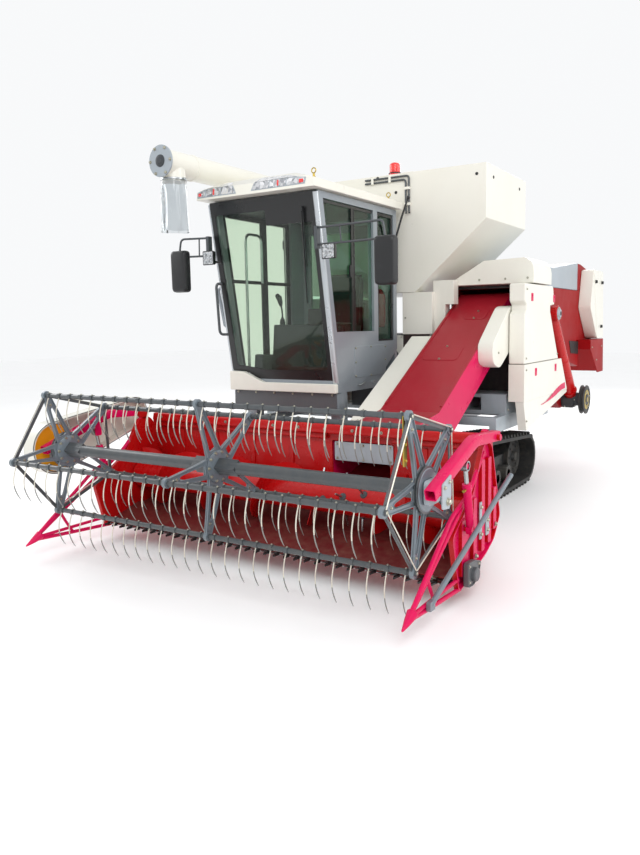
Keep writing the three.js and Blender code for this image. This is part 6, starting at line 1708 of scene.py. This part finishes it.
# %% [markdown]
# ## Grain tank, lamp and lid
# The tank is plain folded sheet; its look comes from the fold lines, a few plugs and the conduits that carry
# wires down its face. The warning lamp is a ribbed dome of red plastic on a flat base.
# %% Tank fittings
conduits = [tube(bent([(-0.56, 0.124, 2.838 + d), (-0.14 + d, 0.124, 2.838 + d), (-0.14 + d, 0.124, 2.56),
    (-0.13 + d, 0.11, 2.54)], 0.03, 6), 0.0085, 12) for d in (0.0, 0.032)]
build("tank_conduits", conduits, bar_grey, slot="grey_paint")
build("conduit_clips", [block((x - 0.012, x + 0.012), (0.113, 0.136), (2.826, 2.882)) for x in (-0.48, -0.3)]
    + [block((-0.152, -0.096), (0.113, 0.136), (z - 0.012, z + 0.012)) for z in (2.76, 2.62)], cream,
    slot="cream_paint", bevel=0.002)
build("tank_plugs", [turned([(0.1345, 0.014), (0.13, 0.012), (0.13, 0.004)], (x, 0, z), "y", 20)
    for x, z in ((-0.434, 2.88), (0.536, 2.813), (-0.245, 2.735))]
    + [turned([(0.6255, 0.014), (0.63, 0.012), (0.63, 0.004)], (0, y, z), "x", 20)
        for y, z in ((0.3, 2.8), (1.0, 2.8))], plastic)
dome = [(0.002, 0.056), (0.01, 0.057), (0.02, 0.056), (0.022, 0.046)]
for level in np.linspace(0.03, 0.082, 5):
    dome += [(level, 0.0485), (level + 0.005, 0.05), (level + 0.01, 0.0485)]
dome += [(0.1, 0.046), (0.11, 0.036), (0.116, 0.02), (0.1175, 0.004)]
build("beacon_dome", [turned([(2.914 + 0.0 - 0.014 + h, r) for h, r in dome], (-0.29, 0.205, 0), "z", 36)],
    red_lens, slot="red_lens", stands_for="beacon")
build("beacon_base", [turned([(2.912, 0.05), (2.912, 0.058), (2.922, 0.058), (2.922, 0.05)],
    (-0.29, 0.205, 0), "z", 36)], plastic)
bracket = rounded([(-0.318, 0.985), (-0.1925, 0.985), (-0.1925, 1.44), (-0.318, 1.44)], 0.01, 3)
build("casing_bracket", [ring_plate(bracket, inset(bracket, 0.026), 0.15, 0.158, "y"),
    plate([(-0.318, 1.44), (-0.193, 1.44), (-0.193, 1.18), (-0.318, 1.4)], 0.152, 0.158, "y")], cream,
    slot="cream_paint", bevel=0.002)
# A dark grey plate behind the cream frame is painted shade: it stands for the shadow inside the frame's
# opening.
build("casing_bracket_back", [plate(rectangle((-0.316, -0.194), (0.99, 1.436), 0.01), 0.16, 0.166, "y")],
    nose_grey)
lid_grip = tube(bent([(-0.33, 0.44, 2.93), (-0.33, 0.44, 2.965), (-0.21, 0.44, 2.965), (-0.21, 0.44, 2.93)],
    0.02, 6), 0.007, 12)
lid_ribs = [block((x - 0.012, x + 0.012), (0.43, 0.9), (2.9285, 2.938)) for x in (-0.5, -0.1)]
build("tank_lid_grip", [lid_grip, *lid_ribs], cream, "hatch", "cream_paint", bevel=0.002)
tell("tank fittings")

# %% [markdown]
# ## Left side covers
# Two large covers close the threshing side. Each hangs on small red latches. A ribbon of magenta sweeps over
# the lower one: its middle line is an S and its width grows from nothing, which is what a painted flash does.
# %% Covers, latches and flash
latch_spots = [(0.245, 1.757), (0.908, 1.757), (0.379, 1.109), (0.998, 1.112)]
latches = [joined(plate(rounded(rectangle((y - 0.024, y + 0.024), (z - 0.034, z + 0.034)), 0.006, 3), 0.9995,
    1.0045), turned([(1.003, 0.011), (1.009, 0.01), (1.009, 0.003)], (0, y, z + 0.014), "x", 16))
    for y, z in latch_spots]
build("cover_latches", latches, rose, slot="pink_paint", bevel=0.001)
sweep = np.linspace(0, 1, 40)
ease = sweep**2 * (3 - 2 * sweep)
flash_mid = np.stack([0.56 + 0.79 * sweep, 0.8 + 0.115 * ease], -1)
flash_half = 0.003 + 0.026 * np.clip((sweep - 0.18) / 0.4, 0, 1)
flash_rows = np.stack([np.stack([np.full(40, x), flash_mid[:, 0], flash_mid[:, 1] - s * flash_half], -1)
    for x, s in ((1.0, 1), (1.0012, 1), (1.0012, 0.33), (1.0012, -0.33), (1.0012, -1), (1.0, -1))])
build("cover_flash", [net(flash_rows.transpose(1, 0, 2), round_v=True, caps=True)], rose, slot="pink_paint")
cover_bolts = [(1.0, y, z) for y, z in ((0.1, 1.82), (0.1, 1.24), (1.04, 1.24), (0.11, 1.14), (0.13, 0.7),
    (1.34, 0.7))]
build("cover_bolts", [bolts(cover_bolts, 0.014, "x")], plated)
tell("covers, latches and flash")

# %% [markdown]
# ### Tailings tube
# A red tube leans back along the rear of the covers. It ends above in a round plate with a bolted bearing and
# below in a dark casting that carries the pulley of its drive.
# %% Tailings tube and drive
TAIL_X, TAIL_FOOT, TAIL_HEAD = 0.95, np.array([1.8, 0.75]), np.array([0.985, 1.62])
tail_run = (TAIL_HEAD - TAIL_FOOT) / np.linalg.norm(TAIL_HEAD - TAIL_FOOT)
tail_length = np.linalg.norm(TAIL_HEAD - TAIL_FOOT)
on_tail = lambda s: (TAIL_X, *(TAIL_FOOT + tail_run * s))
tail_stops = [0.0, 0.1, 0.101, 0.112, 0.113, 0.56, 0.561, 0.572, 0.573, tail_length - 0.02]
tail_radii = [0.062, 0.062, 0.074, 0.074, 0.062, 0.062, 0.066, 0.066, 0.062, 0.062]
tail_head = turned([(0.88, 0.03), (0.88, 0.07), (0.884, 0.074), (1.021, 0.074), (1.025, 0.07), (1.025, 0.03)],
    (0, *TAIL_HEAD), "x", 36)
build("tailings_shell", [tube([on_tail(s) for s in tail_stops], tail_radii, 36), tail_head], header_red,
    slot="red_paint", stands_for="tailings_tube")
build("tailings_bearing",
    [turned([(1.0255, 0.012), (1.0255, 0.06), (1.031, 0.06), (1.033, 0.042), (1.044, 0.038), (1.046, 0.012)],
        (0, *TAIL_HEAD), "x", 36)], pale_grey, slot="pale_grey_paint")
build("tailings_dark_hub", [turned([(1.044, 0.02), (1.048, 0.02), (1.048, 0.003)], (0, *TAIL_HEAD), "x", 24)],
    belt_rubber)
gear_y, gear_z = TAIL_FOOT[0], TAIL_FOOT[1] - 0.02
gear_case = turned([(0.8605, 0.04), (0.8605, 0.078), (0.875, 0.08), (0.99, 0.08), (1.0, 0.07), (1.04, 0.066),
    (1.052, 0.05), (1.06, 0.03)], (0, gear_y, gear_z), "x", 36)
build("tailings_gear_case",
    [gear_case, plate(rounded([(gear_y - 0.09, gear_z - 0.085), (gear_y + 0.07, gear_z - 0.085),
        (gear_y + 0.07, gear_z + 0.02), (gear_y - 0.09, gear_z + 0.02)], 0.02, 4), 0.88, 0.985)], iron,
    slot="dark_steel", bevel=0.003)
wheel_face = [(1.05, 0.03), (1.05, 0.128), (1.056, 0.148), (1.066, 0.15), (1.078, 0.132), (1.09, 0.132),
    (1.102, 0.15), (1.112, 0.148), (1.118, 0.128), (1.11, 0.118), (1.11, 0.06), (1.1195, 0.052),
    (1.1195, 0.03)]
build("tailings_pulley", [turned(wheel_face, (0, gear_y, gear_z), "x", 56)], dark_steel, slot="dark_steel")
build("tailings_pulley_centre",
    [turned([(1.108, 0.062), (1.1125, 0.062), (1.1125, 0.1), (1.108, 0.104)], (0, gear_y, gear_z), "x", 40),
        turned([(1.1185, 0.004), (1.1198, 0.004), (1.1198, 0.024), (1.1185, 0.026)], (0, gear_y, gear_z), "x",
            24)], zinc)
build("tailings_bolts", [bolts([(1.0305, y, z) for y, z in circle(TAIL_HEAD, 0.051, 4, 0.5)], 0.014, "x"),
    bolts([(0.9985, y, z) for y, z in circle((gear_y, gear_z), 0.074, 6)], 0.012, "x"),
    bolts([(1.1115, y, z) for y, z in circle((gear_y, gear_z), 0.082, 4, 0.4)], 0.016, "x")], plated)


tell("tailings tube and drive")

# %% [markdown]
# ### Rear: rubber flap, guard seams, doors and the right side
# Chopped straw leaves past a hanging rubber flap. The guard beside it is two pressed halves, so a raised seam
# runs down its middle. On the right side a pressed grille lets air to the radiator.
# %% Rear and right side
build("straw_flap", [plate(rounded([(2.075, 1.2), (2.38, 1.18), (2.38, 1.318), (2.0, 1.338)], 0.006, 2),
    0.8605, 0.866)], belt_rubber)
guard_seam = plate(rounded([(2.475, 2.075), (2.493, 2.075), (2.7, 1.365), (2.682, 1.365)], 0.004, 2), 0.9995,
    1.0035)
build("rear_guard_seam", [guard_seam], cream, slot="cream_paint", bevel=0.001)
build("rear_guard_knobs",
    [turned([(0.9995, 0.02), (1.01, 0.017), (1.016, 0.019), (1.022, 0.014), (1.023, 0.004)], (0, y, z), "x",
        20) for y, z in ((2.56, 1.98), (2.86, 1.98), (2.86, 1.48))], plastic)
build("outlet_bolts", [bolts([(0.9955, y, z) for y, z in ((2.48, 1.25), (2.7, 1.1), (2.95, 1.25))], 0.014,
    "x")], plated)

door_line = rounded([(0.2, 1.42), (0.82, 1.42), (0.82, 2.02), (0.2, 2.02)], 0.05, 5)
rear_y = 3.0005
build("outlet_door", [plate(door_line, rear_y, rear_y + 0.004, "y"),
    *[plate(rectangle((0.25, 0.77), (z - 0.012, z + 0.012), 0.008), rear_y + 0.003, rear_y + 0.009, "y")
        for z in (1.56, 1.72, 1.88)]], body_red, slot="red_paint", bevel=0.002)
build("outlet_hinges", [turned([(x - 0.035, 0.01), (x + 0.035, 0.01)], (0, rear_y + 0.008, 2.03), "x", 16)
    for x in (0.3, 0.72)] + [
        bolts([(x, rear_y + 0.004, z) for x in (0.225, 0.795) for z in (1.45, 1.72, 1.99)], 0.014, "y")],
    plated)
side_hatch = rounded([(0.7, 0.98), (1.5, 0.98), (1.62, 1.62), (0.82, 1.62)], 0.05, 5)
build("thresher_hatch", [plate(side_hatch, 0.1555, 0.16),
    *[plate(rectangle((y - 0.011, y + 0.011), (0.9, 1.74), 0.006), 0.153, 0.16) for y in (0.56, 1.78, 2.08)]],
    body_red, slot="red_paint", bevel=0.002)
build("thresher_hatch_bolts",
    [bolts([(0.1555, y, z) for y, z in ((0.75, 1.01), (1.11, 1.0), (1.47, 1.01), (0.86, 1.59), (1.22, 1.6),
        (1.58, 1.59), (0.8, 1.3), (1.54, 1.3))], 0.014, "x", -1)], plated)

GRILLE_Y, GRILLE_Z = (0.17, 1.03), (0.86, 1.7)
slats_high = np.linspace(GRILLE_Z[0] + 0.02, GRILLE_Z[1] - 0.02, 40)
grille = [block((-1.2045, -1.2005), (GRILLE_Y[0], GRILLE_Y[1]), (z - 0.003, z + 0.003)) for z in slats_high]
uprights = [block((-1.206, -1.2002), (y - 0.004, y + 0.004), GRILLE_Z) for y in np.linspace(*GRILLE_Y, 9)]
frame_line = rectangle(GRILLE_Y, GRILLE_Z, 0.03, 5)
build("radiator_grille", grille + uprights, trim_black, slot="black_plastic", bevel=0.0)
build("radiator_mesh", [plate(inset(frame_line, 0.006), -1.2012, -1.2002)], belt_rubber)
build("radiator_frame", [ring_plate(frame_line, inset(frame_line, 0.022), -1.211, -1.1995)], cream,
    slot="cream_paint", bevel=0.003)
build("radiator_knobs", [turned([(-1.211, 0.018), (-1.218, 0.016), (-1.222, 0.006)], (0, y, z), "x", 18)
    for y, z in ((0.6, 1.735), (0.6, 0.815))], plastic)
build("fuel_cap", [turned([(1.372, 0.055), (1.38, 0.055), (1.384, 0.048), (1.402, 0.046), (1.406, 0.04),
    (1.406, 0.004)], (-1.06, 1.68, 0), "z", 32)], plastic)
strap_line = rounded([(-1.1945, 0.752), (-1.1945, 1.3345), (-0.4555, 1.3345), (-0.4555, 0.752)], 0.02, 4)
strap_in = rounded([(-1.1895, 0.752), (-1.1895, 1.33), (-0.4605, 1.33), (-0.4605, 0.752)], 0.016, 4)
build("fuel_straps", [ring_plate(strap_line, strap_in, y - 0.02, y + 0.02, "y") for y in (1.75, 2.0)],
    pale_grey, slot="pale_grey_paint", bevel=0.001)
build("fuel_sight_tube", [
    tube(bent([(-1.1895, 1.6, 0.83), (-1.199, 1.6, 0.83), (-1.199, 1.6, 1.26), (-1.1895, 1.6, 1.26)], 0.01,
        4), 0.006, 12)], film, slot="clear_film")
tell("rear and right side")

# %% [markdown]
# ### Small fasteners on the big panels
# Rows of small bolts and plugs make sheet metal look made rather than moulded. Each row is one piece.
# %% Panel fasteners
hood_bolts = [(x, 0.2995, 1.925) for x in (0.26, 0.5, 0.74, 0.94)]
build("hood_bolts", [bolts(hood_bolts, 0.014, "y", -1)], plated)
casing_bolts = [(-0.16, 0.1395, z) for z in (0.85, 1.1, 1.35, 1.6)]
build("casing_bolts", [bolts(casing_bolts, 0.012, "y", -1)], plated)
guard_bolts = [(0.8555, *on_feeder(s, t)) for s, t in ((0.22, 0.06), (0.66, 0.05))]
build("guard_bolts", [bolts(guard_bolts, 0.014, "x")], plated)
build("chassis_bolts", [bolts([(0.8305, y, z) for y in (0.14, 0.4) for z in (0.79, 0.89)], 0.014, "x")],
    plated)
print("body fittings done")
